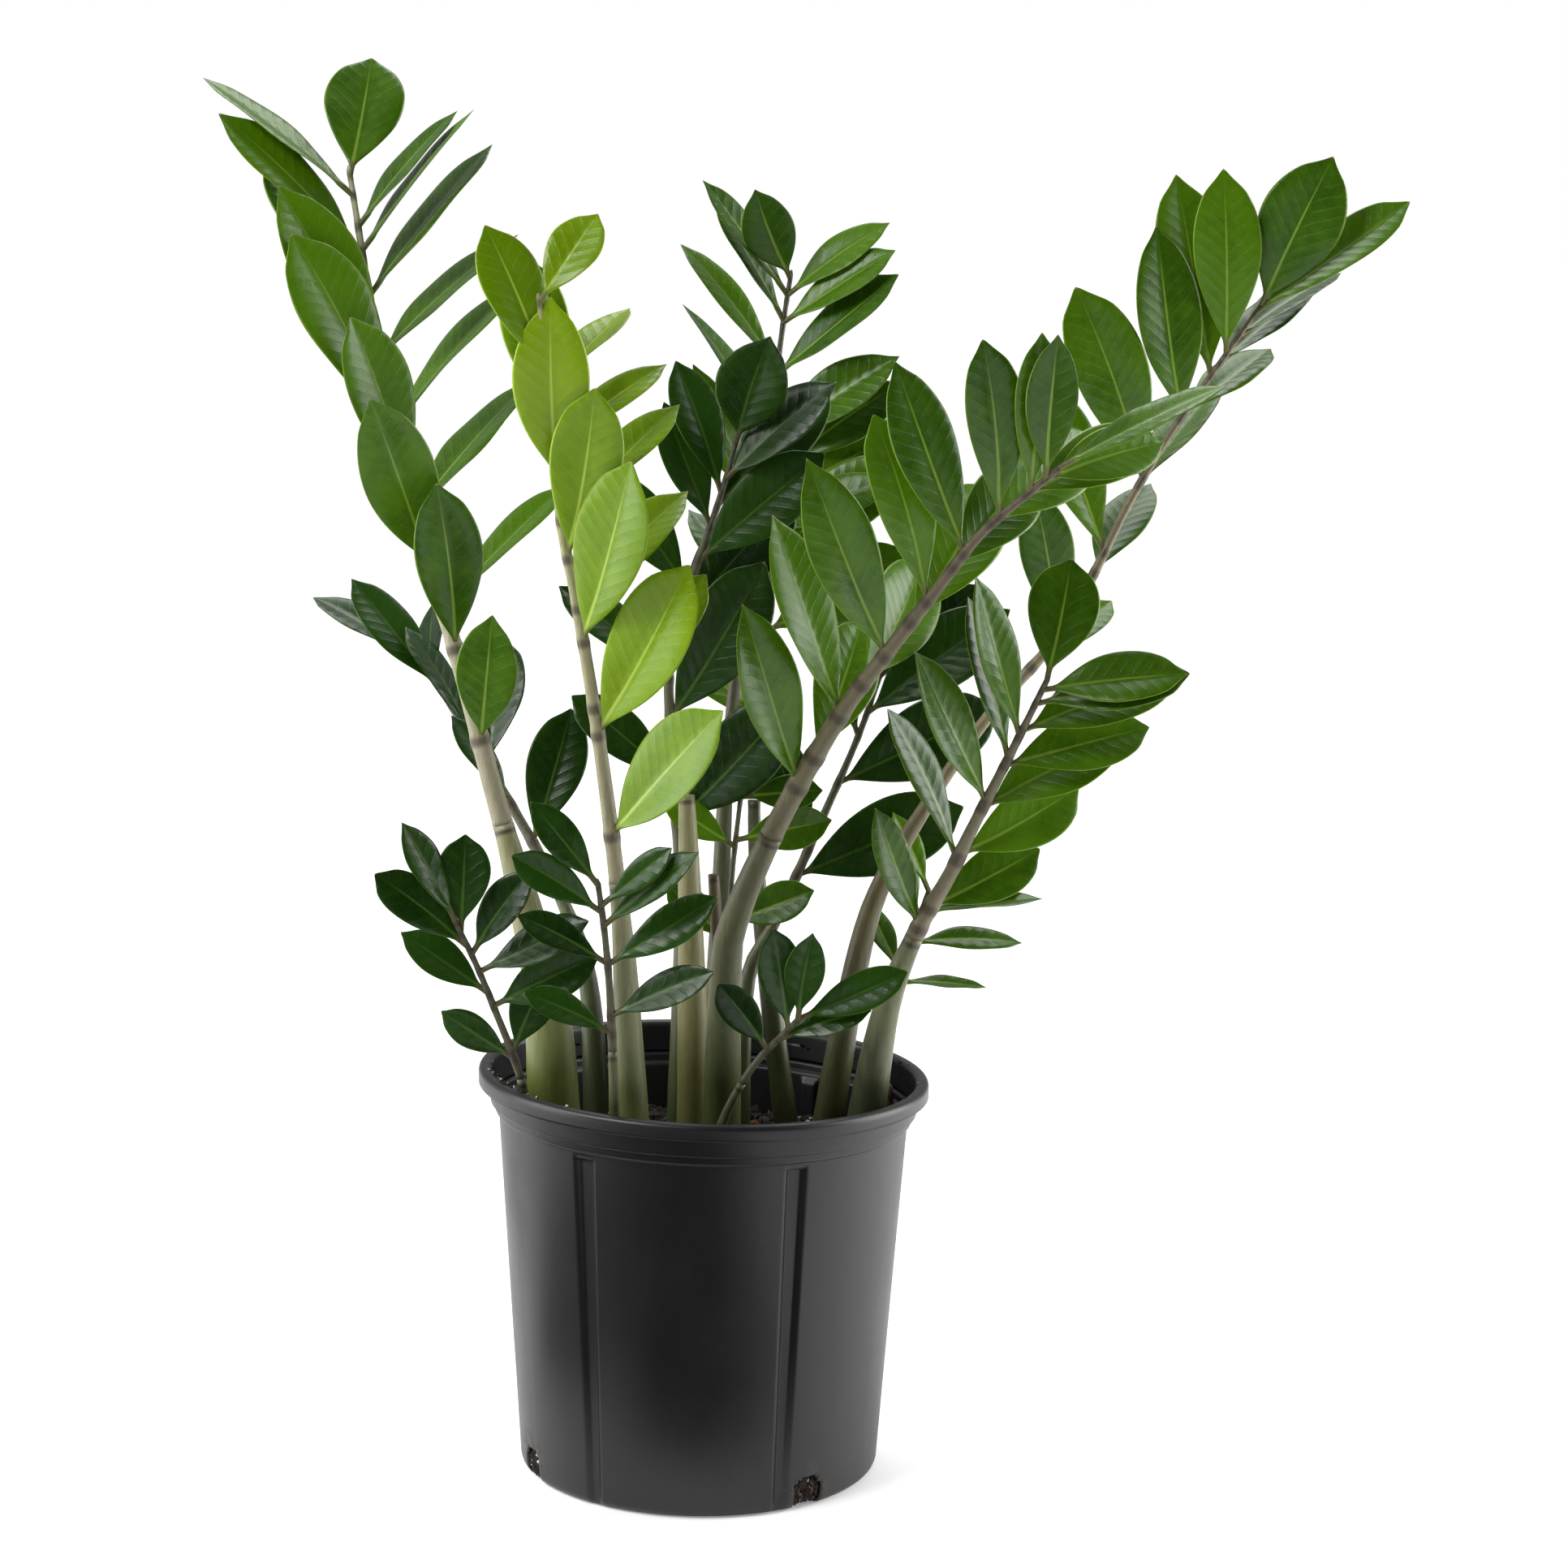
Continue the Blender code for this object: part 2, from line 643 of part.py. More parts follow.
FRONDS = [
    Frond(
        "left_tall",
        (-0.744, -0.18),
        [
            (-0.5, 0.4, 8),
            (-1.7, 0.9, 13.5),
            (-3.7, 1.7, 20.5),
            (-5.4, 2.5, 26.5),
            (-7, 3.2, 31.5),
            (-8.6, 3.9, 36),
            (-9.7, 4.5, 40),
            (-10.6, 5.3, 45),
            (-11.4, 6.1, 50),
            (-12.2, 7, 54.5),
        ],
        (32, 11),
        0.36,
        [
            (8, 0.44, 0.86, (20, -4, -32), (30, 18, 10), (9, 11.3, 12), 0.39, (5, 34, 60)),
            (2, 0.91, 0.97, (-34, -40, -48), (8, 4, 0), (11.5, 11, 10.5), 0.30, (60, 64, 68)),
            (7, 0.57, 0.94, (58, 48, 42), (-22, -18, -12), (10.5, 11.5, 9), 0.34, (-62, -66, -70)),
            (1, 0.99, 0.99, (15, 15, 15), (-35, -35, -35), (8.5, 8.5, 8.5), 0.55, (10, 10, 10)),
        ],
    ),
    Frond(
        "left_back",
        (-0.55, 0.28),
        [
            (-0.6, 1.7, 8.2),
            (-2.3, 3.2, 13),
            (-5.3, 5.3, 18),
            (-8.3, 7.2, 22.5),
            (-11, 9, 26),
        ],
        (16, 7),
        0.5,
        [
            (4, 0.68, 0.99, (0, 5, -10), (-10, -10, -10), (6.5, 8, 8.5), 0.36, (60, 50, 60)),
            (4, 0.60, 0.95, (45, 35, 25), (-15, -15, -15), (8.5, 8, 7.5), 0.42, (0, -30, -40)),
        ],
        DARK_GREEN,
    ),
    Frond(
        "left_bright",
        (-0.34, -0.54),
        [
            (-0.6, -0.5, 11.5),
            (-1.2, -0.9, 17.5),
            (-2, -1.4, 23.5),
            (-2.7, -1.8, 28),
            (-3.5, -2.2, 32.5),
            (-4.2, -2.6, 36),
            (-4.5, -3, 39.5),
            (-5, -3.5, 44.5),
            (-5.4, -4, 48),
        ],
        (21, 9),
        0.38,
        [
            (8, 0.42, 0.94, (40, 11, -30), (25, 15, 10), (11, 9.7, 8), 0.41, (-36, -4, 32)),
            (6, 0.56, 0.93, (45, 53, 40), (-20, -20, -15), (10, 8.5, 6.5), 0.36, (-25, -55, -60)),
            (1, 0.99, 0.99, (36, 36, 36), (-20, -20, -20), (6, 6, 6), 0.5, (-15, -15, -15)),
        ],
        YOUNG_GREEN,
    ),
    Frond(
        "back_tall",
        (0.03, 0.54),
        [
            (0.4, 1.1, 11),
            (0.7, 2.6, 20),
            (1.5, 4.4, 29.5),
            (2.6, 6, 36.5),
            (3.5, 8, 44.7),
            (4.1, 9, 49),
        ],
        (15, 8),
        0.45,
        [
            (5, 0.72, 0.97, (-34, -38, -40), (-12, -8, 0), (10, 9, 8), 0.30, (55, 60, 55)),
            (5, 0.70, 0.97, (54, 42, 44), (8, 5, 0), (9, 9, 7), 0.36, (-40, -45, -50)),
            (1, 0.99, 0.99, (-48, -48, -48), (15, 15, 15), (6.4, 6.4, 6.4), 0.5, (0, 0, 0)),
        ],
    ),
    Frond(
        "centre_dark",
        (-0.12, 0.22),
        [
            (0, 0.2, 12),
            (-0.5, 0.4, 19.7),
            (-1, 0.6, 26.5),
            (-0.3, 0.7, 30),
            (0.6, 0.8, 33),
            (1.9, 0.9, 37),
            (2.8, 1, 40.5),
        ],
        (17, 8),
        0.42,
        [
            (6, 0.47, 0.93, (42, 26, 28), (12, 10, 12), (10.5, 10, 8.5), 0.42, (-10, -20, -35)),
            (5, 0.52, 0.91, (-46, -48, -32), (-5, 0, 0), (8, 8, 7.5), 0.38, (35, 30, 20)),
            (1, 0.98, 0.98, (0, 0, 0), (25, 25, 25), (7, 7, 7), 0.6, (0, 0, 0)),
        ],
        DARK_GREEN,
    ),
    Frond(
        "back_middle",
        (0.18, 0.37),
        [
            (0.4, 1.3, 8.4),
            (2.1, 2.3, 12),
            (4.8, 3.8, 18),
            (6.8, 5.4, 22.5),
            (8.4, 7, 27),
        ],
        (14, 6),
        0.5,
        [
            (4, 0.55, 0.95, (40, 38, 25), (-8, -8, -8), (11, 10.5, 9), 0.42, (-15, -20, -20)),
            (3, 0.60, 0.95, (-45, -40, -35), (-15, -15, -15), (8, 8, 7), 0.4, (20, 20, 20)),
        ],
        DARK_GREEN,
    ),
    Frond(
        "back_right",
        (0.43, 0.56),
        [
            (-1.5, 1.1, 11),
            (-2.1, 2.3, 18),
            (-1.8, 3.6, 25),
            (-1.3, 5, 31),
            (-0.8, 6, 35.5),
            (-0.2, 6.8, 39),
        ],
        (14, 7),
        0.5,
        [
            (5, 0.60, 0.97, (60, 50, 45), (10, 0, -10), (9.5, 9.5, 8), 0.42, (-10, -20, -30)),
            (4, 0.60, 0.97, (-50, -45, -40), (-15, -15, -15), (8, 8, 7), 0.4, (30, 40, 40)),
        ],
    ),
    Frond(
        "front_right",
        (0.09, -0.32),
        [
            (0.1, -1.7, 11),
            (0.6, -2.5, 14.5),
            (2.8, -3.8, 20),
            (5.9, -5.5, 26),
            (8.6, -6.8, 30),
            (10.7, -7.8, 33),
            (12.8, -8.9, 36),
            (15.1, -9.7, 38.2),
            (17.1, -10.4, 40),
        ],
        (22, 12),
        0.46,
        [
            (8, 0.52, 0.97, (-44, -54, -42), (14, 12, 10), (11.4, 10.6, 7.5), 0.34, (40, 24, 10)),
            (7, 0.56, 0.97, (-8, 6, 22), (-42, -40, -30), (10, 10.5, 8), 0.38, (10, -10, -30)),
            (1, 0.99, 0.99, (8, 8, 8), (8, 8, 8), (9.8, 9.8, 9.8), 0.32, (-60, -60, -60)),
        ],
    ),
    Frond(
        "right_broad",
        (0.79, -0.18),
        [
            (1.2, -0.7, 8.4),
            (2.8, -1.4, 13.2),
            (4.5, -1.9, 16.5),
            (5.7, -2.3, 19.3),
            (7.8, -3.2, 24),
            (9.5, -4, 28),
        ],
        (24, 10),
        0.47,
        [
            (5, 0.50, 0.88, (-46, -44, -36), (12, 8, 5), (8, 9.8, 9), 0.32, (44, 48, 36)),
            (7, 0.54, 0.97, (34, 46, 54), (-20, -10, 5), (7.6, 9, 8), 0.42, (-16, -34, -48)),
            (1, 0.99, 0.99, (-14, -14, -14), (-15, -15, -15), (7, 7, 7), 0.58, (0, 0, 0)),
        ],
    ),
    Frond(
        "right_tall",
        (0.63, 0.27),
        [
            (1.7, 0.7, 10.3),
            (3.2, 1.2, 15),
            (6.3, 1.8, 20.3),
            (9, 2.3, 24.2),
            (13.1, 2.9, 29),
            (14.7, 3.4, 32),
            (16.9, 4.1, 36.5),
            (19.2, 4.7, 40.4),
            (21.7, 5.3, 44),
            (24.5, 6, 48),
        ],
        (19, 8),
        0.40,
        [
            (6, 0.60, 0.93, (-48, -46, -38), (8, 4, 0), (9, 11.5, 10.6), 0.38, (22, 18, 8)),
            (6, 0.56, 0.95, (8, 14, 20), (-38, -36, -30), (8, 9, 8.5), 0.36, (-40, -50, -55)),
            (1, 0.99, 0.99, (-14, -14, -14), (5, 5, 5), (9.6, 9.6, 9.6), 0.52, (0, 0, 0)),
            (1, 0.98, 0.98, (14, 14, 14), (-5, -5, -5), (11.3, 11.3, 11.3), 0.3, (-45, -45, -45)),
        ],
    ),
    Frond(
        "right_low",
        TUBER_BASE,
        [
            (0, 0, 1.3),
            (0, 0, 2.6),
            (0.6, 1, 4.8),
            (1.6, 2.3, 7.3),
            (2.8, 3.6, 10.5),
        ],
        (12, 6),
        0.45,
        [
            (4, 0.50, 0.95, (66, 64, 58), (-5, -5, -5), (5.4, 6.9, 6), 0.3, (-66, -66, -66)),
            (3, 0.55, 0.98, (-50, -50, -50), (-25, -25, -25), (5.5, 6, 5), 0.34, (40, 40, 40)),
        ],
        rise=TUBER_HEIGHT - TUBER_SUNK + JOINT_GAP,
    ),
    Frond(
        "young_left",
        (-0.82, -0.45),
        [
            (-0.9, -0.9, 5.2),
            (-2.3, -2.3, 9.5),
            (-3.3, -3.6, 12.4),
            (-4.4, -4.7, 15),
        ],
        (9, 4.5),
        0.42,
        [
            (4, 0.50, 0.86, (38, 85, 50), (12, 8, 5), (6.2, 6.6, 6), 0.42, (0, -40, -30)),
            (4, 0.48, 0.98, (-40, -30, -4), (5, 5, 5), (5, 6, 6.4), 0.4, (10, 30, 55)),
            (1, 0.94, 0.94, (22, 22, 22), (5, 5, 5), (5.5, 5.5, 5.5), 0.55, (0, 0, 0)),
        ],
        DARK_GREEN,
    ),
    Frond(
        "young_centre",
        (-0.42, -0.77),
        [
            (-0.2, -0.8, 6),
            (-0.4, -1.7, 10.8),
            (-0.7, -2.6, 14.5),
            (-1.1, -3.4, 17.6),
        ],
        (7.5, 4.5),
        0.52,
        [
            (4, 0.60, 0.92, (61, 58, 50), (12, 10, 8), (6.6, 6.8, 5.2), 0.34, (-35, -35, -40)),
            (4, 0.55, 0.98, (-62, -50, -33), (8, 8, 8), (5.5, 5.5, 6), 0.36, (40, 30, 20)),
        ],
        DARK_GREEN,
    ),
    Frond(
        "young_front",
        (0.02, -0.63),
        [
            (0.9, -0.8, 3.7),
            (2.5, -1.9, 7),
            (4.2, -2.6, 9),
            (4.9, -3, 9.9),
        ],
        (7.5, 4),
        0.6,
        [
            (3, 0.80, 0.98, (-78, -50, -30), (15, 15, 15), (5, 5.8, 5), 0.42, (0, 0, 0)),
            (2, 0.86, 0.98, (25, 20, 24), (5, 5, 5), (5.5, 6, 6.4), 0.34, (-30, -30, -30)),
        ],
        DARK_GREEN,
    ),
    Frond(
        "young_back",
        (0.125, 0.18),
        [(-0.2, -0.2, 8), (0, -0.3, 15), (0.5, -0.3, 20.5)],
        (5, 3.5),
        0.5,
        [
            (3, 0.65, 0.97, (60, 70, 80), (10, 10, 10), (5.5, 5.5, 4.5), 0.45, (-20, -20, -20)),
            (3, 0.60, 0.97, (-50, -60, -70), (0, 0, 0), (5, 5, 4), 0.4, (20, 20, 20)),
        ],
    ),
]

STUBS = [
    Frond("green", (-0.045, -0.09), [(-0.2, 0, 8), (-0.5, 0, 16), (-0.7, 0, 20.3)], (20, 9), 1.0, []),
    Frond("brown", (0.14, 0.03), [(-0.5, -0.2, 6), (-1.2, -0.4, 15.7)], (10, 6), 1.0, [], STUB_BROWN),
]


def stalk(frond, prefix, look):
    """A stalk standing in its socket, up to the joint ring."""
    mesh = frond.stalk_mesh()
    smoothed(mesh, 50)
    add(f"{prefix}_{frond.name}", mesh, look)


def tuber_body(name, group, grow=0.0):
    """The tuber's bark-covered neck, standing out of the soil, or a socket cutter for it."""
    half = TUBER_D / 2 + grow
    high = TUBER_HEIGHT + grow
    outline = [
        (0.0, high),
        (half * 0.86, high),
        (half, high * 0.72),
        (half * 0.94, high * 0.3),
        (half * 0.7, -grow),
        (0.0, -grow),
    ]
    body = turned(name, outline, TUBER_BROWN, group, 12)
    body.location = (TUBER_BASE[0] * SOIL_RADIUS, TUBER_BASE[1] * SOIL_RADIUS, SOIL_LEVEL - TUBER_SUNK)
    return body


def skin_tree(mesh):
    """A search tree of a whole mesh."""
    work = bmesh.new()
    work.from_mesh(mesh)
    tree = BVHTree.FromBMesh(work)
    work.free()
    return tree


def build():
    """Builds the pot, the stalks and stubs, the soil round them, and then blade by blade."""
    pot()
    sockets = []
    stems = []
    for frond in FRONDS + STUBS:
        if frond.rise:
            continue
        socket = bpy.data.objects.new(f"socket_{frond.name}", frond.stalk_mesh(GAP, GAP))
        CUTTERS.objects.link(socket)
        sockets.append(socket)
    sockets.append(tuber_body("socket_tuber", CUTTERS, GAP))
    soil(sockets)
    tuber_body("tuber", PLANT)
    for frond in FRONDS:
        stalk(frond, "stalk", STALK_GREEN)
    stalk(STUBS[0], "stub", STALK_GREEN)
    stalk(STUBS[1], "stub", STUB_BROWN)
    for frond in FRONDS + STUBS:
        count = len(frond.route)
        stems.append(skin_tree(tube("stem", frond.route, [frond.width(i) for i in range(count)], 8)))
    grown = []
    for i, frond in enumerate(FRONDS):
        grown += blade(frond, stems[:i] + stems[i + 1 :] + grown)


build()
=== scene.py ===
"""A ZZ plant in a nursery pot: the finished look of each piece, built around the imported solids.

Metres, +Z up. The front is -Y. Sizes are those of the solids wherever the two meet.
"""

import math

import bpy
import numpy as np
from mathutils import Matrix, Vector
from mathutils.bvhtree import BVHTree


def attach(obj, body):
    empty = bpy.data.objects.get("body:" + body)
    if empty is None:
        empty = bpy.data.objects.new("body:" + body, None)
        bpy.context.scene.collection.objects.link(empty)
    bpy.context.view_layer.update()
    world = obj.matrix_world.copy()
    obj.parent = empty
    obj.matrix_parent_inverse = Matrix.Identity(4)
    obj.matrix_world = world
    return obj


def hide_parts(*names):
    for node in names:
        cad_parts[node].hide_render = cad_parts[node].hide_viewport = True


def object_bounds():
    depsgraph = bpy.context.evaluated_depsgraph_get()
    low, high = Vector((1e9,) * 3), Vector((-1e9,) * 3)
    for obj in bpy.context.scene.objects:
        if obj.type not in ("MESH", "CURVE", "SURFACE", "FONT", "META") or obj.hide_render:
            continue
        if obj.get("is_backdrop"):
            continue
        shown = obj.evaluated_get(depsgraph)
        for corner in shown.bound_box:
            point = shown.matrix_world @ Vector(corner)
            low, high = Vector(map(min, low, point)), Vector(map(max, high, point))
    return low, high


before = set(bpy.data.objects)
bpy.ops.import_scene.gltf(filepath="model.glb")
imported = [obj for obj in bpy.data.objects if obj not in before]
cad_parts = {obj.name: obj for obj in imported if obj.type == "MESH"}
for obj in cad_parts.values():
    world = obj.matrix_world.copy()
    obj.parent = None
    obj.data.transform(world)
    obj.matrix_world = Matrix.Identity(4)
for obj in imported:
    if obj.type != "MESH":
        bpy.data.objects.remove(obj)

solid_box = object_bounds()
MM = 0.001
CM = 0.01

# ---- The pot ----
# A black nursery pot, formed from one thin sheet of recycled polyethylene. The sheet runs from the
# floor up the wall, steps out to a band and curls over into the lip. Six channels pressed into the
# wall stiffen it, and a drain hole is cut through the foot on each side of the mould's two seams.
POT_HEIGHT = 228 * MM
RIM_D = 254 * MM
BASE_D = 203 * MM
WALL_INSET = 11.5 * MM
STEP_HEIGHT = 25 * MM
BASE_ROUND = 7 * MM
RIM_TILT = 0.028
SHEET = 2.0 * MM


def wall_radius(height):
    """The radius of the wall's outside: it widens evenly from the foot to the step."""
    share = (height - BASE_ROUND) / (POT_HEIGHT - STEP_HEIGHT - BASE_ROUND)
    return BASE_D / 2 + (RIM_D / 2 - WALL_INSET - BASE_D / 2) * share


def tilted(points):
    """The rim sags towards +X: a point drops by its x times the square of its height up the wall."""
    foot = POT_HEIGHT / 3
    share = np.clip((points[..., 2] - foot) / (POT_HEIGHT - foot), 0, None)
    lower = points.copy()
    lower[..., 2] -= RIM_TILT * points[..., 0] * share**2
    return lower


def rounded_path(corners, pitch):
    """Straight runs between corners (across, up, rounding), each corner a parabola, cut to a pitch."""
    spots = np.array([corner[:2] for corner in corners], float)
    path = [spots[0]]
    for k in range(1, len(spots) - 1):
        come, go = spots[k] - spots[k - 1], spots[k + 1] - spots[k]
        come, go = come / np.linalg.norm(come), go / np.linalg.norm(go)
        reach = corners[k][2] * math.tan(math.acos(np.clip(come @ go, -1, 1)) / 2)
        t = np.linspace(0, 1, 7)[:, None]
        start, end = spots[k] - come * reach, spots[k] + go * reach
        path.extend((1 - t) ** 2 * start + 2 * t * (1 - t) * spots[k] + t**2 * end)
    path.append(spots[-1])
    runs = []
    for here, there in zip(path, path[1:]):
        count = max(1, round(np.linalg.norm(there - here) / pitch))
        runs.append(here + (there - here) * (np.arange(count) / count)[:, None])
    return np.vstack([*runs, path[-1][None]])


def smooth(x, low, high):
    """0 below low, 1 above high, and an S-curve between."""
    t = np.clip((x - low) / (high - low), 0, 1)
    return t * t * (3 - 2 * t)


def piece(name, points, faces, material, *nodes, slot=None, flat=False):
    """A mesh object from arrays, riding on the root body, standing for the solids it is given."""
    mesh = bpy.data.meshes.new(name)
    mesh.from_pydata(points.reshape(-1, 3).tolist(), [], [list(map(int, face)) for face in faces])
    mesh.polygons.foreach_set("use_smooth", np.full(len(mesh.polygons), not flat))
    mesh.materials.append(material)
    made = bpy.data.objects.new(name, mesh)
    bpy.context.scene.collection.objects.link(made)
    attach(made, "root")
    if nodes:
        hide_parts(*nodes)
    return made


def note(made, label, facts):
    """Writes three numbers at every point of a piece, for its material to read."""
    layer = made.data.attributes.new(label, "FLOAT_VECTOR", "POINT")
    layer.data.foreach_set("vector", facts.astype(np.float32).ravel())


def grid(rows, columns, turn=True, start=0):
    """The quads of a grid of rows and columns, closed round its columns if turn is set."""
    last = columns if turn else columns - 1
    j, i = np.meshgrid(np.arange(last), np.arange(rows - 1))
    here, there = i * columns + j, i * columns + (j + 1) % columns
    return start + np.stack([here, there, there + columns, here + columns], -1).reshape(-1, 4)


class Wire:
    """A value in a material's node tree. Adding, multiplying and so on adds the Math node for it."""

    def __init__(self, tree, socket):
        self.tree = tree
        self.socket = socket

    def node(self, kind, settings=(), sockets=(), out=0):
        """Any node: its type, its settings, the values or wires of its sockets, and which output."""
        made = self.tree.nodes.new("ShaderNode" + kind)
        for key, value in dict(settings).items():
            setattr(made, key, value)
        for key, value in dict(sockets).items():
            if isinstance(value, Wire):
                self.tree.links.new(value.socket, made.inputs[key])
            else:
                made.inputs[key].default_value = value
        return Wire(self.tree, made.outputs[out])

    def maths(self, operation, *values):
        return self.node("Math", {"operation": operation}, enumerate(values))

    def __add__(self, other):
        return self.maths("ADD", self, other)

    def __sub__(self, other):
        return self.maths("SUBTRACT", self, other)

    def __rsub__(self, other):
        return self.maths("SUBTRACT", other, self)

    def __mul__(self, other):
        return self.maths("MULTIPLY", self, other)

    def __truediv__(self, other):
        return self.maths("DIVIDE", self, other)

    def __abs__(self):
        return self.maths("ABSOLUTE", self)

    __radd__ = __add__
    __rmul__ = __mul__

    def ramp(self, low, high, start=0.0, end=1.0):
        """This value's S-curve from start to end as it goes from low to high."""
        sockets = {"Value": self, "From Min": low, "From Max": high, "To Min": start, "To Max": end}
        return self.node("MapRange", {"interpolation_type": "SMOOTHSTEP"}, sockets)

    def mix(self, first, second):
        """The first colour where this value is 0, and the second where it is 1."""
        first = first if isinstance(first, Wire) else (*first, 1)
        second = second if isinstance(second, Wire) else (*second, 1)
        sockets = {0: self, 6: first, 7: second}
        return self.node("Mix", {"data_type": "RGBA", "clamp_factor": True}, sockets, 2)


class Finish(Wire):
    """A material with one Principled shader, and the places that its patterns read."""

    def __init__(self, name, **values):
        self.material = bpy.data.materials.new(name)
        self.material.use_nodes = True
        tree = self.material.node_tree
        tree.nodes.clear()
        self.shader = tree.nodes.new("ShaderNodeBsdfPrincipled")
        output = tree.nodes.new("ShaderNodeOutputMaterial")
        tree.links.new(self.shader.outputs[0], output.inputs[0])
        super().__init__(tree, None)
        self.place = self.node("TexCoord", out="Object")
        for key, value in values.items():
            self.shader.inputs[key.replace("_", " ")].default_value = value

    def feed(self, **wires):
        """Links wires to the shader's sockets, named with _ for a space."""
        for key, wire in wires.items():
            self.tree.links.new(wire.socket, self.shader.inputs[key.replace("_", " ")])

    def parts(self, vector):
        """The three numbers of a vector."""
        made = self.tree.nodes.new("ShaderNodeSeparateXYZ")
        self.tree.links.new(vector.socket, made.inputs[0])
        return [Wire(self.tree, output) for output in made.outputs]

    def read(self, label):
        """The three numbers noted at the points of the piece under a label."""
        return self.parts(self.node("Attribute", {"attribute_name": label}, out="Vector"))

    def noise(self, scale, detail=2.0, rough=0.5, vector=None):
        """Noise with features of about 1 / scale metres."""
        vector = vector or self.place
        sockets = {"Vector": vector, "Scale": scale, "Detail": detail, "Roughness": rough}
        return self.node("TexNoise", {}, sockets)

    def stretched(self, x, y, z):
        """The place, multiplied along each axis."""
        return self.node("VectorMath", {"operation": "MULTIPLY"}, {0: self.place, 1: (x, y, z)})

    def bump(self, height, depth, normal=None):
        """A height of 0 to 1, as a bump that is depth metres high."""
        sockets = {"Height": height, "Distance": depth, "Strength": 1.0}
        if normal:
            sockets["Normal"] = normal
        return self.node("Bump", {}, sockets)


FLUTES = 6
FLUTE_FIRST = math.radians(-94)
FLUTE_TOP = POT_HEIGHT - 27 * MM
FLUTE_SIDE = 3.7 * MM


def fluted(path, outside):
    """The pot's columns: at each path point (radius, height) a ring of angles, pressed in at each flute.

    A flute's mouth is 15 mm wide at its top and 11 mm at the foot. The press is 3.4 mm to 2.2 mm, and
    is an S-curve over the flute's sloping sides. Columns are close over a flute and even between two.
    """
    radius, height = path[:, :1], path[:, 1:]
    down = np.clip((FLUTE_TOP - height) / FLUTE_TOP, 0, 1)
    half = (15 - 4 * down) * MM / 2
    deep = (3.4 - 1.2 * down) * MM * smooth(FLUTE_TOP - height, 0, 2 * MM)
    deep *= smooth(height, 0, BASE_ROUND) * outside[:, None]
    pitch = 2 * math.pi / FLUTES
    mouth = np.linspace(-1.25, 1.25, 27)[None]
    zone = 1.25 * half / wall_radius(height)
    near = mouth * half / wall_radius(height)
    far = zone + (pitch - 2 * zone) * (np.arange(1, 41) / 41)[None]
    sector = np.hstack([near, far])
    share = np.hstack([smooth((1 - abs(mouth)) * half, 0, FLUTE_SIDE), np.zeros_like(far)])
    turns = FLUTE_FIRST + pitch * np.arange(FLUTES)
    angle = (turns[None, :, None] + sector[:, None, :]).reshape(len(path), -1)
    pressed = radius - deep * np.tile(share, FLUTES)
    return angle, pressed, np.broadcast_to(height, angle.shape)


def around(angle, radius, height):
    """The points at angles from the front towards +X, at radii and heights."""
    return np.stack([radius * np.sin(angle), -radius * np.cos(angle), height], -1)


DRAIN_SEAM = math.radians(-14.7)
DRAIN_SPREAD = math.radians(50.8)
DRAIN_ANGLES = [DRAIN_SEAM + turn + side * DRAIN_SPREAD for turn in (0, math.pi) for side in (-1, 1)]
DRAIN_HALF = 10 * MM
DRAIN_TOP = 17.5 * MM
DRAIN_REACH = 14 * MM
DRAIN_ROUND = 8.6 * MM

half = SHEET / 2
corners = [
    (2 * MM, half, 0),
    (BASE_D / 2 - half, half, BASE_ROUND - half),
    (wall_radius(POT_HEIGHT - STEP_HEIGHT) - half, POT_HEIGHT - STEP_HEIGHT, 1.6 * MM),
    (116.6 * MM, POT_HEIGHT - 23.5 * MM, 1.4 * MM),
    (117.0 * MM, POT_HEIGHT - 19.6 * MM, 0.8 * MM),
    (119.3 * MM, POT_HEIGHT - 18.6 * MM, 0.5 * MM),
    (119.9 * MM, POT_HEIGHT - 10 * MM, 1.0 * MM),
    (120.4 * MM, POT_HEIGHT - half, 2.6 * MM),
    (126.0 * MM, POT_HEIGHT - half, 2.6 * MM),
    (125.9 * MM, POT_HEIGHT - 9.0 * MM, 0),
]
path = rounded_path(corners, 1.5 * MM)
wall = (path[:, 1] > DRAIN_TOP + 4 * MM) & (path[:, 1] < FLUTE_TOP - 4 * MM)
path = path[~wall | (np.arange(len(path)) % 5 == 0)]
angle, radius, height = fluted(path, path[:, 0] > 90 * MM)
step = np.hypot(*np.diff(path, axis=0).T)
run = np.concatenate([[0], np.cumsum(step)])
foot = run[np.argmin(abs(path[:, 1] - 2.5 * MM) + 1e3 * (path[:, 0] < 90 * MM))]
run = np.broadcast_to((run - foot)[:, None], angle.shape)
gone = np.zeros(angle.shape, bool)
for drain in DRAIN_ANGLES:
    across = (angle - drain + math.pi) % (2 * math.pi) - math.pi
    across = across * BASE_D / 2
    middle, tall = (DRAIN_TOP - DRAIN_REACH) / 2, (DRAIN_TOP + DRAIN_REACH) / 2
    out = np.maximum([abs(across) - DRAIN_HALF, abs(run - middle) - tall], -DRAIN_ROUND) + DRAIN_ROUND
    reach = np.hypot(*out) - DRAIN_ROUND
    near = abs(reach) < 0.75 * MM
    toward = out / np.maximum(np.hypot(*out), 1e-9) * near * reach
    angle = angle - toward[0] * np.sign(across) / (BASE_D / 2)
    moved = run - toward[1] * np.sign(run - middle)
    radius = radius + (np.interp(moved, run[:, 0], path[:, 0]) - path[:, :1])
    height = height + (np.interp(moved, run[:, 0], path[:, 1]) - path[:, 1:])
    gone |= reach < 0.4 * MM
points = tilted(around(angle, radius, height))
columns = points.shape[1]
faces = grid(len(path), columns)
faces = faces[~gone.ravel()[faces].all(1)]
centre = len(points) * columns
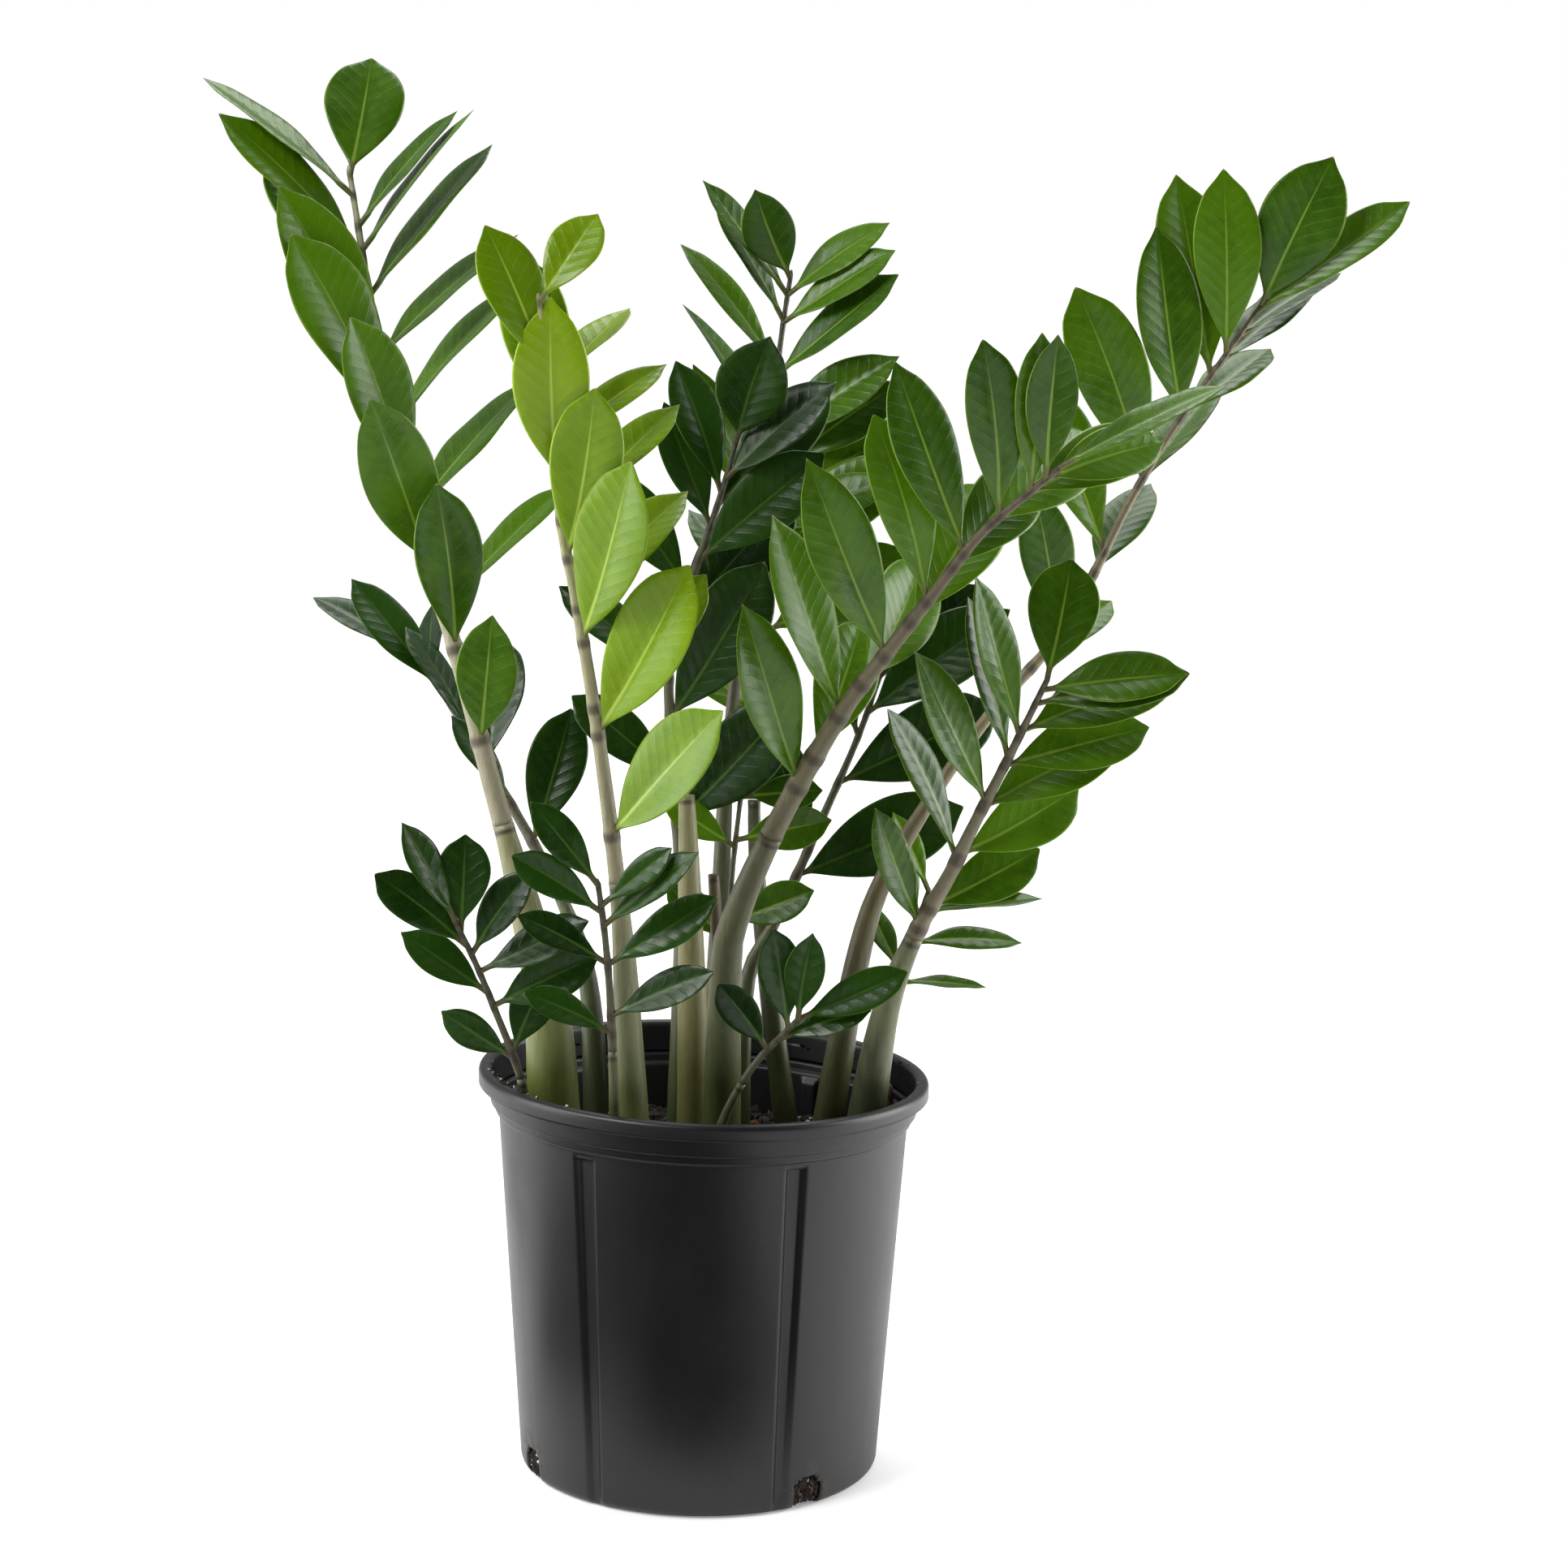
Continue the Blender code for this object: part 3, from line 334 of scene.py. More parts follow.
fan = [(centre, (j + 1) % columns, j) for j in range(columns)]
points = np.vstack([points.reshape(-1, 3), [(0, 0, half)]])

plastic = Finish("pot_plastic", Roughness=0.42, IOR=1.5, Specular_IOR_Level=0.5)
cloud = plastic.noise(14, 3, 0.55)
grain = plastic.noise(900, 2, 0.6)
drag = plastic.noise(60, 3, 0.6, plastic.stretched(1, 1, 0.05))
scuff = plastic.noise(240, 4, 0.7, plastic.stretched(0.3, 0.3, 1.6)).ramp(0.63, 0.74)
dust = cloud.ramp(0.4, 0.75) * 0.5 + scuff * 0.5
soiled = plastic.noise(130, 4, 0.7).ramp(0.45, 0.62)
near_drain = None
for drain in DRAIN_ANGLES:
    spot = (math.sin(drain) * BASE_D / 2, -math.cos(drain) * BASE_D / 2, 0.008)
    gap = plastic.node("VectorMath", {"operation": "DISTANCE"}, {0: plastic.place, 1: spot}, 1)
    close = gap.ramp(0.010, 0.024, 1.0, 0.0)
    near_drain = close if near_drain is None else near_drain + close
dirt = near_drain * soiled
black = (dust * 0.6).mix((0.0034, 0.0037, 0.0045), (0.0080, 0.0086, 0.0100))
plastic.feed(
    Base_Color=dirt.mix(black, (0.040, 0.030, 0.022)),
    Roughness=drag * 0.10 + cloud * 0.10 + dust * 0.10 + dirt * 0.3 + 0.30,
    Normal=plastic.bump(grain * 0.5 + drag * 0.5, 0.00008),
)
pot = piece("nursery_pot", points, [*faces, *fan], plastic.material, "pot", slot="pot_plastic")
thick = pot.modifiers.new("sheet", "SOLIDIFY")
thick.thickness = SHEET
thick.offset = 0.0
thick.use_even_offset = True

# ---- The soil ----
# Peat and bark potting mix, dark and damp, with white perlite and orange bark chips in it. It fills
# the pot to 45 mm below the rim, and shows again in the drain holes at the foot.
SOIL_LEVEL = POT_HEIGHT - 45 * MM
SOIL_CROWN = 5 * MM
GAP = 0.3 * MM
SOIL_RADIUS = wall_radius(SOIL_LEVEL - SOIL_CROWN) - 2.2 * MM - GAP
SOIL_COLUMNS = 240
rng = np.random.default_rng(7)


def lumps(x, y, size, count=7, seed=0):
    """Uneven ground from -1 to 1: sine waves about size metres long, in count directions, averaged."""
    wave = np.random.default_rng(seed)
    turns, phases = wave.uniform(0, 2 * math.pi, (2, count))
    lengths = size * wave.uniform(0.7, 1.4, count)
    total = np.zeros_like(x)
    for turn, phase, length in zip(turns, phases, lengths):
        total += np.sin((x * math.cos(turn) + y * math.sin(turn)) * 2 * math.pi / length + phase)
    return total / count**0.5 / 1.4


def flute_dent(angle):
    """How far the wall's inside is pressed in at an angle, with a little to spare."""
    pitch = 2 * math.pi / FLUTES
    near = abs((angle - FLUTE_FIRST + pitch / 2) % pitch - pitch / 2) * SOIL_RADIUS
    return 4.4 * MM * smooth(10 * MM - near, 0, FLUTE_SIDE)


def soil_top(x, y):
    """The soil's height: flat, down 5 mm at the wall, with lumps of 4 mm, 2 mm and 1 mm."""
    out = np.hypot(x, y) / SOIL_RADIUS
    crown = SOIL_CROWN * np.clip((out - 0.8) / 0.2, 0, 1)
    rough = lumps(x, y, 0.045) * 1.6 + lumps(x, y, 0.017, seed=1) * 1.0 + lumps(x, y, 0.007, seed=2) * 0.6
    return SOIL_LEVEL - crown - 1.5 * MM + rough * MM * smooth(1.02 - out, 0, 0.1)


turn = np.linspace(0, 2 * math.pi, SOIL_COLUMNS, endpoint=False)[None]
ring = np.linspace(0.01, 1, 70)[:, None] * (SOIL_RADIUS - flute_dent(turn))
top = around(turn, ring, 0 * ring)
top[..., 2] = soil_top(top[..., 0], top[..., 1])
side_path = np.array(
    [(wall_radius(z) - 2.6 * MM, z) for z in (170 * MM, 120 * MM, 60 * MM, 20 * MM, 10 * MM)]
    + [(90 * MM, 3.6 * MM), (1 * MM, 3.6 * MM)]
)
side = around(turn, side_path[:, :1] - flute_dent(turn), side_path[:, 1:] + 0 * turn)
body = tilted(np.vstack([top, side]))
rows = len(body)
ends = np.array([(0, 0, body[0, :, 2].mean()), (0, 0, 3.6 * MM)])
fan = [(rows * SOIL_COLUMNS, j, (j + 1) % SOIL_COLUMNS) for j in range(SOIL_COLUMNS)]
low, under = (rows - 1) * SOIL_COLUMNS, rows * SOIL_COLUMNS + 1
fan += [(under, low + (j + 1) % SOIL_COLUMNS, low + j) for j in range(SOIL_COLUMNS)]

peat = Finish("potting_soil", Roughness=0.95)
coarse = peat.noise(260, 4, 0.65)
fine = peat.noise(1100, 3, 0.6)
damp = peat.noise(35, 2, 0.5)
brown = coarse.ramp(0.35, 0.68).mix((0.0040, 0.0028, 0.0022), (0.026, 0.017, 0.012))
peat.feed(
    Base_Color=fine.ramp(0.66, 0.74).mix(brown, (0.060, 0.036, 0.022)),
    Roughness=damp * 0.3 + 0.72,
    Normal=peat.bump(coarse * 0.7 + fine * 0.3, 0.002),
)
points = np.vstack([body.reshape(-1, 3), ends])
faces = [*grid(rows, SOIL_COLUMNS)[:, ::-1], *[face[::-1] for face in fan]]
piece("potting_mix", points, faces, peat.material, "soil", slot="potting_soil")

# Crumbs, perlite grains and bark chips lying in and on the mix, each an uneven lump of twenty faces.
gold = (1 + 5**0.5) / 2
lump = np.array(
    [(-1, gold, 0), (1, gold, 0), (-1, -gold, 0), (1, -gold, 0), (0, -1, gold), (0, 1, gold)]
    + [(0, -1, -gold), (0, 1, -gold), (gold, 0, -1), (gold, 0, 1), (-gold, 0, -1), (-gold, 0, 1)]
) / math.hypot(1, gold)
lump_faces = np.array(
    [(0, 11, 5), (0, 5, 1), (0, 1, 7), (0, 7, 10), (0, 10, 11), (1, 5, 9), (5, 11, 4)]
    + [(11, 10, 2), (10, 7, 6), (7, 1, 8), (3, 9, 4), (3, 4, 2), (3, 2, 6), (3, 6, 8)]
    + [(3, 8, 9), (4, 9, 5), (2, 4, 11), (6, 2, 10), (8, 6, 7), (9, 8, 1)]
)


def crumbs(name, places, sizes, kinds, stretch=1.7):
    """One lump at each place, with random axes and dents. Sizes are half widths, and a kind is 0 for
    soil, 1 for perlite and 2 for bark."""
    count = len(places)
    axes = np.linalg.qr(rng.normal(size=(count, 3, 3)))[0]
    axes *= np.sign(np.linalg.det(axes))[:, None, None]
    shape = lump[None] * (1 + 0.28 * rng.normal(size=(count, 12, 1)).clip(-1.4, 1.4))
    widths = sizes[:, None] * rng.uniform(1 / stretch, stretch, (count, 3))
    widths[kinds == 2, 2] *= 0.4
    spots = (shape * widths[:, None, :]) @ axes + places[:, None, :]
    faces = (lump_faces[None] + 12 * np.arange(count)[:, None, None]).reshape(-1, 3)
    made = piece(name, spots, faces, grit.material, slot="potting_soil", flat=True)
    note(made, "kind", np.stack([kinds == 1, kinds == 2, rng.random(count)], -1).repeat(12, 0))


grit = Finish("soil_grit", Roughness=0.9)
white, bark, tone = grit.read("kind")
speck = grit.noise(1500, 3, 0.6)
earth = (speck * 0.6 + tone * 0.5).mix((0.003, 0.0022, 0.0016), (0.026, 0.017, 0.011))
chip = (speck * 0.5 + tone * 0.6).mix((0.085, 0.030, 0.012), (0.34, 0.13, 0.045))
pearl = speck.ramp(0.3, 0.7).mix((0.42, 0.39, 0.35), (0.75, 0.73, 0.70))
grit.feed(
    Base_Color=white.mix(bark.mix(earth, chip), pearl),
    Normal=grit.bump(speck, 0.0006),
)
MIX_KINDS = (0.86, 0.05, 0.09)
count = 3600
turn = rng.uniform(0, 2 * math.pi, count)
spread = np.sqrt(rng.random(count)) * (SOIL_RADIUS - 3 * MM - flute_dent(turn))
places = around(turn, spread, 0 * spread)
places[:, 2] = soil_top(places[:, 0], places[:, 1])
sizes = MM * rng.gamma(3.0, 0.42, count).clip(0.5, 3.2)
kinds = rng.choice(3, count, p=MIX_KINDS)
crumbs("soil_crumbs", tilted(places), sizes, kinds)

holes, hole_sizes = [], []
for drain in DRAIN_ANGLES:
    across, up = rng.uniform(-9.4, 9.4, 260) * MM, rng.uniform(3.6, 17, 260) * MM
    inside = np.hypot(across, np.clip(up - 8.5 * MM, 0, None)) < 8.8 * MM
    across, up = across[inside], up[inside]
    deep = (2.2 + 1.6 * smooth(6 * MM - up, 0, 5 * MM)) * MM
    holes.append(around(drain + across / (BASE_D / 2), wall_radius(up) - deep, up))
    stray = rng.normal(0, 1, (26, 2)) * (9 * MM, 5 * MM) + (-3 * MM, 9 * MM)
    stray = stray[(np.hypot(*stray.T) > 9 * MM) & (stray[:, 1] > 3 * MM)]
    holes.append(around(drain + stray[:, 0] / (BASE_D / 2), wall_radius(stray[:, 1]), stray[:, 1]))
    hole_sizes += [MM * rng.uniform(0.7, 1.6, len(across)), MM * rng.uniform(0.2, 0.5, len(stray))]
places, sizes = np.vstack(holes), np.concatenate(hole_sizes)
crumbs("drain_crumbs", places, sizes, rng.choice(3, len(places), p=MIX_KINDS))

# Specks of mix that stuck to the inside of the lip when the pot was filled, most at the front left.
turn = np.concatenate([rng.normal(-1.15, 0.16, 80), rng.uniform(-math.pi, math.pi, 60)])
LIP_SPECKS = len(turn)
places = around(turn, rng.uniform(119.0, 122.5, LIP_SPECKS) * MM, np.full(LIP_SPECKS, POT_HEIGHT))
places[:, 2] -= rng.uniform(0.0, 1.0, LIP_SPECKS) ** 2 * 3 * MM
sizes = MM * rng.uniform(0.3, 0.9, LIP_SPECKS)
crumbs("lip_crumbs", tilted(places), sizes, rng.choice(3, LIP_SPECKS, p=(0.6, 0.2, 0.2)))

# ---- The fronds' growth ----
# Each frond is one stalk up to its joint ring and a rib with two rows of leaflets above it. The
# growth rules here give both their places, and are the same ones that the solids grew by.
STALK_DEPTH = 22 * MM
GIRTH_TIP = 2.6 * MM
RIB_PITCH = 11 * MM
LEAF_NECK = 7 * MM
LEAF_ARCH = 0.07
LEAF_CREASE = 0.16
LEAF_THICK = 1.8 * MM
NECK_HALF = 1.3 * MM
COLLAR_HALF = 4.0 * MM
LEAF_CLEAR = 1.2 * MM
CROWDING = 1.55
TUBER_BASE = (0.90, 0.13)
TUBER_HEIGHT = 50 * MM
TUBER_SUNK = 14 * MM
JOINT_GAP = 0.3 * MM


def smooth_route(points, pitch):
    """Points a pitch apart on the smooth curve through a few chosen ones (Catmull-Rom)."""
    ends = [points[0] * 2 - points[1], *points, points[-1] * 2 - points[-2]]
    t = np.linspace(0, 1, 24, endpoint=False)[:, None]
    fine = []
    for a, b, c, d in zip(ends, ends[1:], ends[2:], ends[3:]):
        bend = (b * 3 - a - c * 3 + d) * t**3 + (a * 2 - b * 5 + c * 4 - d) * t**2
        fine.append((bend + (c - a) * t + b * 2) / 2)
    fine = np.vstack([*fine, points[-1][None]])
    along = np.concatenate([[0], np.cumsum(np.linalg.norm(np.diff(fine, axis=0), axis=1))])
    want = np.linspace(0, along[-1], max(2, round(along[-1] / pitch)) + 1)
    return np.stack([np.interp(want, along, fine[:, k]) for k in range(3)], -1)


LEAF_GREEN, DARK_GREEN, YOUNG_GREEN = "leaf_green", "leaf_dark", "leaf_young"


class Frond:
    """One frond: base in soil radii, steps from there in centimetres, girth in millimetres at the
    soil and at the joint ring, ring as a share of the length, leaflet rows, look, and rise."""

    def __init__(self, name, base, steps, girth, ring, rows, look=LEAF_GREEN, rise=0.0):
        self.name = name
        self.rows = rows
        self.look = look
        foot = np.array([base[0] * SOIL_RADIUS, base[1] * SOIL_RADIUS, SOIL_LEVEL + rise])
        points = [foot, *(foot + np.array(step) * CM for step in steps)]
        if not rise:
            down = np.array(steps[0], float)
            points.insert(0, foot - down / np.linalg.norm(down) * STALK_DEPTH)
        self.route = smooth_route(points, RIB_PITCH)
        self.last = len(self.route) - 1
        self.ring = round(ring * self.last)
        self.girth = np.array(girth) * MM

    def width(self, spot):
        """The stalk swells at the soil and narrows to the ring, and the rib narrows to its tip."""
        low = np.clip(spot / self.ring, 0, 1)
        high = np.clip((spot - self.ring) / max(1, self.last - self.ring), 0, 1)
        stalk = self.girth[1] + (self.girth[0] - self.girth[1]) * (1 - low**1.4)
        return stalk + (GIRTH_TIP - self.girth[1]) * high

    def at(self, spot):
        """The places at points counted along the route, and the route's directions there."""
        spot = np.asarray(spot, float)
        steps = np.arange(self.last + 1)
        place = np.stack([np.interp(spot, steps, self.route[:, k]) for k in range(3)], -1)
        i = np.minimum(spot.astype(int), self.last - 1)
        way = self.route[np.minimum(self.last, i + 2)] - self.route[np.maximum(0, i - 1)]
        return place, way / np.linalg.norm(way, axis=-1, keepdims=True)


def between(three, share):
    """A value that runs smoothly through its first, middle and last values."""
    first, middle, last = three
    rise = first * (1 - share) * (1 - 2 * share) + last * share * (2 * share - 1)
    return rise + middle * 4 * share * (1 - share)


FRONDS = [
    Frond(
        "left_tall",
        (-0.744, -0.18),
        [
            (-0.5, 0.4, 8), (-1.7, 0.9, 13.5), (-3.7, 1.7, 20.5), (-5.4, 2.5, 26.5),
            (-7, 3.2, 31.5), (-8.6, 3.9, 36), (-9.7, 4.5, 40), (-10.6, 5.3, 45), (-11.4, 6.1, 50),
            (-12.2, 7, 54.5),
        ],
        (32, 11),
        0.36,
        [
            (8, 0.44, 0.86, (20, -4, -32), (30, 18, 10), (9, 11.3, 12), 0.39, (5, 34, 60)),
            (2, 0.91, 0.97, (-34, -40, -48), (8, 4, 0), (11.5, 11, 10.5), 0.30, (60, 64, 68)),
            (7, 0.57, 0.94, (58, 48, 42), (-22, -18, -12), (10.5, 11.5, 9), 0.34, (-62, -66, -70)),
            (1, 0.99, 0.99, (15, 15, 15), (-35, -35, -35), (8.5, 8.5, 8.5), 0.55, (10, 10, 10)),
        ],
    ),
    Frond(
        "left_back",
        (-0.55, 0.28),
        [
            (-0.6, 1.7, 8.2), (-2.3, 3.2, 13), (-5.3, 5.3, 18), (-8.3, 7.2, 22.5), (-11, 9, 26),
        ],
        (16, 7),
        0.5,
        [
            (4, 0.68, 0.99, (0, 5, -10), (-10, -10, -10), (6.5, 8, 8.5), 0.36, (60, 50, 60)),
            (4, 0.60, 0.95, (45, 35, 25), (-15, -15, -15), (8.5, 8, 7.5), 0.42, (0, -30, -40)),
        ],
        DARK_GREEN,
    ),
    Frond(
        "left_bright",
        (-0.34, -0.54),
        [
            (-0.6, -0.5, 11.5), (-1.2, -0.9, 17.5), (-2, -1.4, 23.5), (-2.7, -1.8, 28),
            (-3.5, -2.2, 32.5), (-4.2, -2.6, 36), (-4.5, -3, 39.5), (-5, -3.5, 44.5),
            (-5.4, -4, 48),
        ],
        (21, 9),
        0.38,
        [
            (8, 0.42, 0.94, (40, 11, -30), (25, 15, 10), (11, 9.7, 8), 0.41, (-36, -4, 32)),
            (6, 0.56, 0.93, (45, 53, 40), (-20, -20, -15), (10, 8.5, 6.5), 0.36, (-25, -55, -60)),
            (1, 0.99, 0.99, (36, 36, 36), (-20, -20, -20), (6, 6, 6), 0.5, (-15, -15, -15)),
        ],
        YOUNG_GREEN,
    ),
    Frond(
        "back_tall",
        (0.03, 0.54),
        [
            (0.4, 1.1, 11), (0.7, 2.6, 20), (1.5, 4.4, 29.5), (2.6, 6, 36.5), (3.5, 8, 44.7),
            (4.1, 9, 49),
        ],
        (15, 8),
        0.45,
        [
            (5, 0.72, 0.97, (-34, -38, -40), (-12, -8, 0), (10, 9, 8), 0.30, (55, 60, 55)),
            (5, 0.70, 0.97, (54, 42, 44), (8, 5, 0), (9, 9, 7), 0.36, (-40, -45, -50)),
            (1, 0.99, 0.99, (-48, -48, -48), (15, 15, 15), (6.4, 6.4, 6.4), 0.5, (0, 0, 0)),
        ],
    ),
    Frond(
        "centre_dark",
        (-0.12, 0.22),
        [
            (0, 0.2, 12), (-0.5, 0.4, 19.7), (-1, 0.6, 26.5), (-0.3, 0.7, 30), (0.6, 0.8, 33),
            (1.9, 0.9, 37), (2.8, 1, 40.5),
        ],
        (17, 8),
        0.42,
        [
            (6, 0.47, 0.93, (42, 26, 28), (12, 10, 12), (10.5, 10, 8.5), 0.42, (-10, -20, -35)),
            (5, 0.52, 0.91, (-46, -48, -32), (-5, 0, 0), (8, 8, 7.5), 0.38, (35, 30, 20)),
            (1, 0.98, 0.98, (0, 0, 0), (25, 25, 25), (7, 7, 7), 0.6, (0, 0, 0)),
        ],
        DARK_GREEN,
    ),
    Frond(
        "back_middle",
        (0.18, 0.37),
        [
            (0.4, 1.3, 8.4), (2.1, 2.3, 12), (4.8, 3.8, 18), (6.8, 5.4, 22.5), (8.4, 7, 27),
        ],
        (14, 6),
        0.5,
        [
            (4, 0.55, 0.95, (40, 38, 25), (-8, -8, -8), (11, 10.5, 9), 0.42, (-15, -20, -20)),
            (3, 0.60, 0.95, (-45, -40, -35), (-15, -15, -15), (8, 8, 7), 0.4, (20, 20, 20)),
        ],
        DARK_GREEN,
    ),
    Frond(
        "back_right",
        (0.43, 0.56),
        [
            (-1.5, 1.1, 11), (-2.1, 2.3, 18), (-1.8, 3.6, 25), (-1.3, 5, 31), (-0.8, 6, 35.5),
            (-0.2, 6.8, 39),
        ],
        (14, 7),
        0.5,
        [
            (5, 0.60, 0.97, (60, 50, 45), (10, 0, -10), (9.5, 9.5, 8), 0.42, (-10, -20, -30)),
            (4, 0.60, 0.97, (-50, -45, -40), (-15, -15, -15), (8, 8, 7), 0.4, (30, 40, 40)),
        ],
    ),
    Frond(
        "front_right",
        (0.09, -0.32),
        [
            (0.1, -1.7, 11), (0.6, -2.5, 14.5), (2.8, -3.8, 20), (5.9, -5.5, 26), (8.6, -6.8, 30),
            (10.7, -7.8, 33), (12.8, -8.9, 36), (15.1, -9.7, 38.2), (17.1, -10.4, 40),
        ],
        (22, 12),
        0.46,
        [
            (8, 0.52, 0.97, (-44, -54, -42), (14, 12, 10), (11.4, 10.6, 7.5), 0.34, (40, 24, 10)),
            (7, 0.56, 0.97, (-8, 6, 22), (-42, -40, -30), (10, 10.5, 8), 0.38, (10, -10, -30)),
            (1, 0.99, 0.99, (8, 8, 8), (8, 8, 8), (9.8, 9.8, 9.8), 0.32, (-60, -60, -60)),
        ],
    ),
    Frond(
        "right_broad",
        (0.79, -0.18),
        [
            (1.2, -0.7, 8.4), (2.8, -1.4, 13.2), (4.5, -1.9, 16.5), (5.7, -2.3, 19.3),
            (7.8, -3.2, 24), (9.5, -4, 28),
        ],
        (24, 10),
        0.47,
        [
            (5, 0.50, 0.88, (-46, -44, -36), (12, 8, 5), (8, 9.8, 9), 0.32, (44, 48, 36)),
            (7, 0.54, 0.97, (34, 46, 54), (-20, -10, 5), (7.6, 9, 8), 0.42, (-16, -34, -48)),
            (1, 0.99, 0.99, (-14, -14, -14), (-15, -15, -15), (7, 7, 7), 0.58, (0, 0, 0)),
        ],
    ),
    Frond(
        "right_tall",
        (0.63, 0.27),
        [
            (1.7, 0.7, 10.3), (3.2, 1.2, 15), (6.3, 1.8, 20.3), (9, 2.3, 24.2), (13.1, 2.9, 29),
            (14.7, 3.4, 32), (16.9, 4.1, 36.5), (19.2, 4.7, 40.4), (21.7, 5.3, 44), (24.5, 6, 48),
        ],
        (19, 8),
        0.40,
        [
            (6, 0.60, 0.93, (-48, -46, -38), (8, 4, 0), (9, 11.5, 10.6), 0.38, (22, 18, 8)),
            (6, 0.56, 0.95, (8, 14, 20), (-38, -36, -30), (8, 9, 8.5), 0.36, (-40, -50, -55)),
            (1, 0.99, 0.99, (-14, -14, -14), (5, 5, 5), (9.6, 9.6, 9.6), 0.52, (0, 0, 0)),
            (1, 0.98, 0.98, (14, 14, 14), (-5, -5, -5), (11.3, 11.3, 11.3), 0.3, (-45, -45, -45)),
        ],
    ),
    Frond(
        "right_low",
        TUBER_BASE,
        [
            (0, 0, 1.3), (0, 0, 2.6), (0.6, 1, 4.8), (1.6, 2.3, 7.3), (2.8, 3.6, 10.5),
        ],
        (12, 6),
        0.45,
        [
            (4, 0.50, 0.95, (66, 64, 58), (-5, -5, -5), (5.4, 6.9, 6), 0.3, (-66, -66, -66)),
            (3, 0.55, 0.98, (-50, -50, -50), (-25, -25, -25), (5.5, 6, 5), 0.34, (40, 40, 40)),
        ],
        rise=TUBER_HEIGHT - TUBER_SUNK + JOINT_GAP,
    ),
    Frond(
        "young_left",
        (-0.82, -0.45),
        [
            (-0.9, -0.9, 5.2), (-2.3, -2.3, 9.5), (-3.3, -3.6, 12.4), (-4.4, -4.7, 15),
        ],
        (9, 4.5),
        0.42,
        [
            (4, 0.50, 0.86, (38, 85, 50), (12, 8, 5), (6.2, 6.6, 6), 0.42, (0, -40, -30)),
            (4, 0.48, 0.98, (-40, -30, -4), (5, 5, 5), (5, 6, 6.4), 0.4, (10, 30, 55)),
            (1, 0.94, 0.94, (22, 22, 22), (5, 5, 5), (5.5, 5.5, 5.5), 0.55, (0, 0, 0)),
        ],
        DARK_GREEN,
    ),
    Frond(
        "young_centre",
        (-0.42, -0.77),
        [
            (-0.2, -0.8, 6), (-0.4, -1.7, 10.8), (-0.7, -2.6, 14.5), (-1.1, -3.4, 17.6),
        ],
        (7.5, 4.5),
        0.52,
        [
            (4, 0.60, 0.92, (61, 58, 50), (12, 10, 8), (6.6, 6.8, 5.2), 0.34, (-35, -35, -40)),
            (4, 0.55, 0.98, (-62, -50, -33), (8, 8, 8), (5.5, 5.5, 6), 0.36, (40, 30, 20)),
        ],
        DARK_GREEN,
    ),
    Frond(
        "young_front",
        (0.02, -0.63),
        [
            (0.9, -0.8, 3.7), (2.5, -1.9, 7), (4.2, -2.6, 9), (4.9, -3, 9.9),
        ],
        (7.5, 4),
        0.6,
        [
            (3, 0.80, 0.98, (-78, -50, -30), (15, 15, 15), (5, 5.8, 5), 0.42, (0, 0, 0)),
            (2, 0.86, 0.98, (25, 20, 24), (5, 5, 5), (5.5, 6, 6.4), 0.34, (-30, -30, -30)),
        ],
        DARK_GREEN,
    ),
    Frond(
        "young_back",
        (0.125, 0.18),
        [
            (-0.2, -0.2, 8), (0, -0.3, 15), (0.5, -0.3, 20.5),
        ],
        (5, 3.5),
        0.5,
        [
            (3, 0.65, 0.97, (60, 70, 80), (10, 10, 10), (5.5, 5.5, 4.5), 0.45, (-20, -20, -20)),
            (3, 0.60, 0.97, (-50, -60, -70), (0, 0, 0), (5, 5, 4), 0.4, (20, 20, 20)),
        ],
    ),
]

# ---- The stalks ----
# A frond's stalk is thick and fleshy, swollen where it stores water at the soil. Its skin is pale
# olive green and smooth, with darker blotches, and a dark scar round it at the joint ring.
SIDES = 24


def tube(route, ways, widths, squash=0.0, phase=0.0):
    """A closed tube: at each route point a ring of its width across the way, a little out of round."""
    side = np.cross(ways, (0, 1, 0))
    side /= np.linalg.norm(side, axis=1, keepdims=True)
    back = np.cross(side, ways)
    turn = np.linspace(0, 2 * math.pi, SIDES, endpoint=False)[None]
    swell = 1 + squash * np.cos(2 * turn + phase) + 0.4 * squash * np.cos(3 * turn - phase)
    ring = (widths / 2)[:, None] * swell
    points = route[:, None] + side[:, None] * (ring * np.cos(turn))[..., None]
    points = points + back[:, None] * (ring * np.sin(turn))[..., None]
    faces = grid(len(route), SIDES).tolist()
    last = (len(route) - 1) * SIDES
    faces += [(len(route) * SIDES, (j + 1) % SIDES, j) for j in range(SIDES)]
    faces += [(len(route) * SIDES + 1, last + j, last + (j + 1) % SIDES) for j in range(SIDES)]
    return np.vstack([points.reshape(-1, 3), route[:1], route[-1:]]), [f[::-1] for f in faces]


def growth(made, along, tone):
    """Writes the attribute growth: how far along in metres, how far round from 0 to 1, and a tone."""
    rings = np.repeat(along, SIDES)
    round_ = np.tile(np.arange(SIDES) / SIDES, len(along))
    facts = np.stack([rings, round_, np.full(len(rings), tone)], -1)
    note(made, "growth", np.vstack([facts, [(along[0], 0, tone), (along[-1], 0, tone)]]))


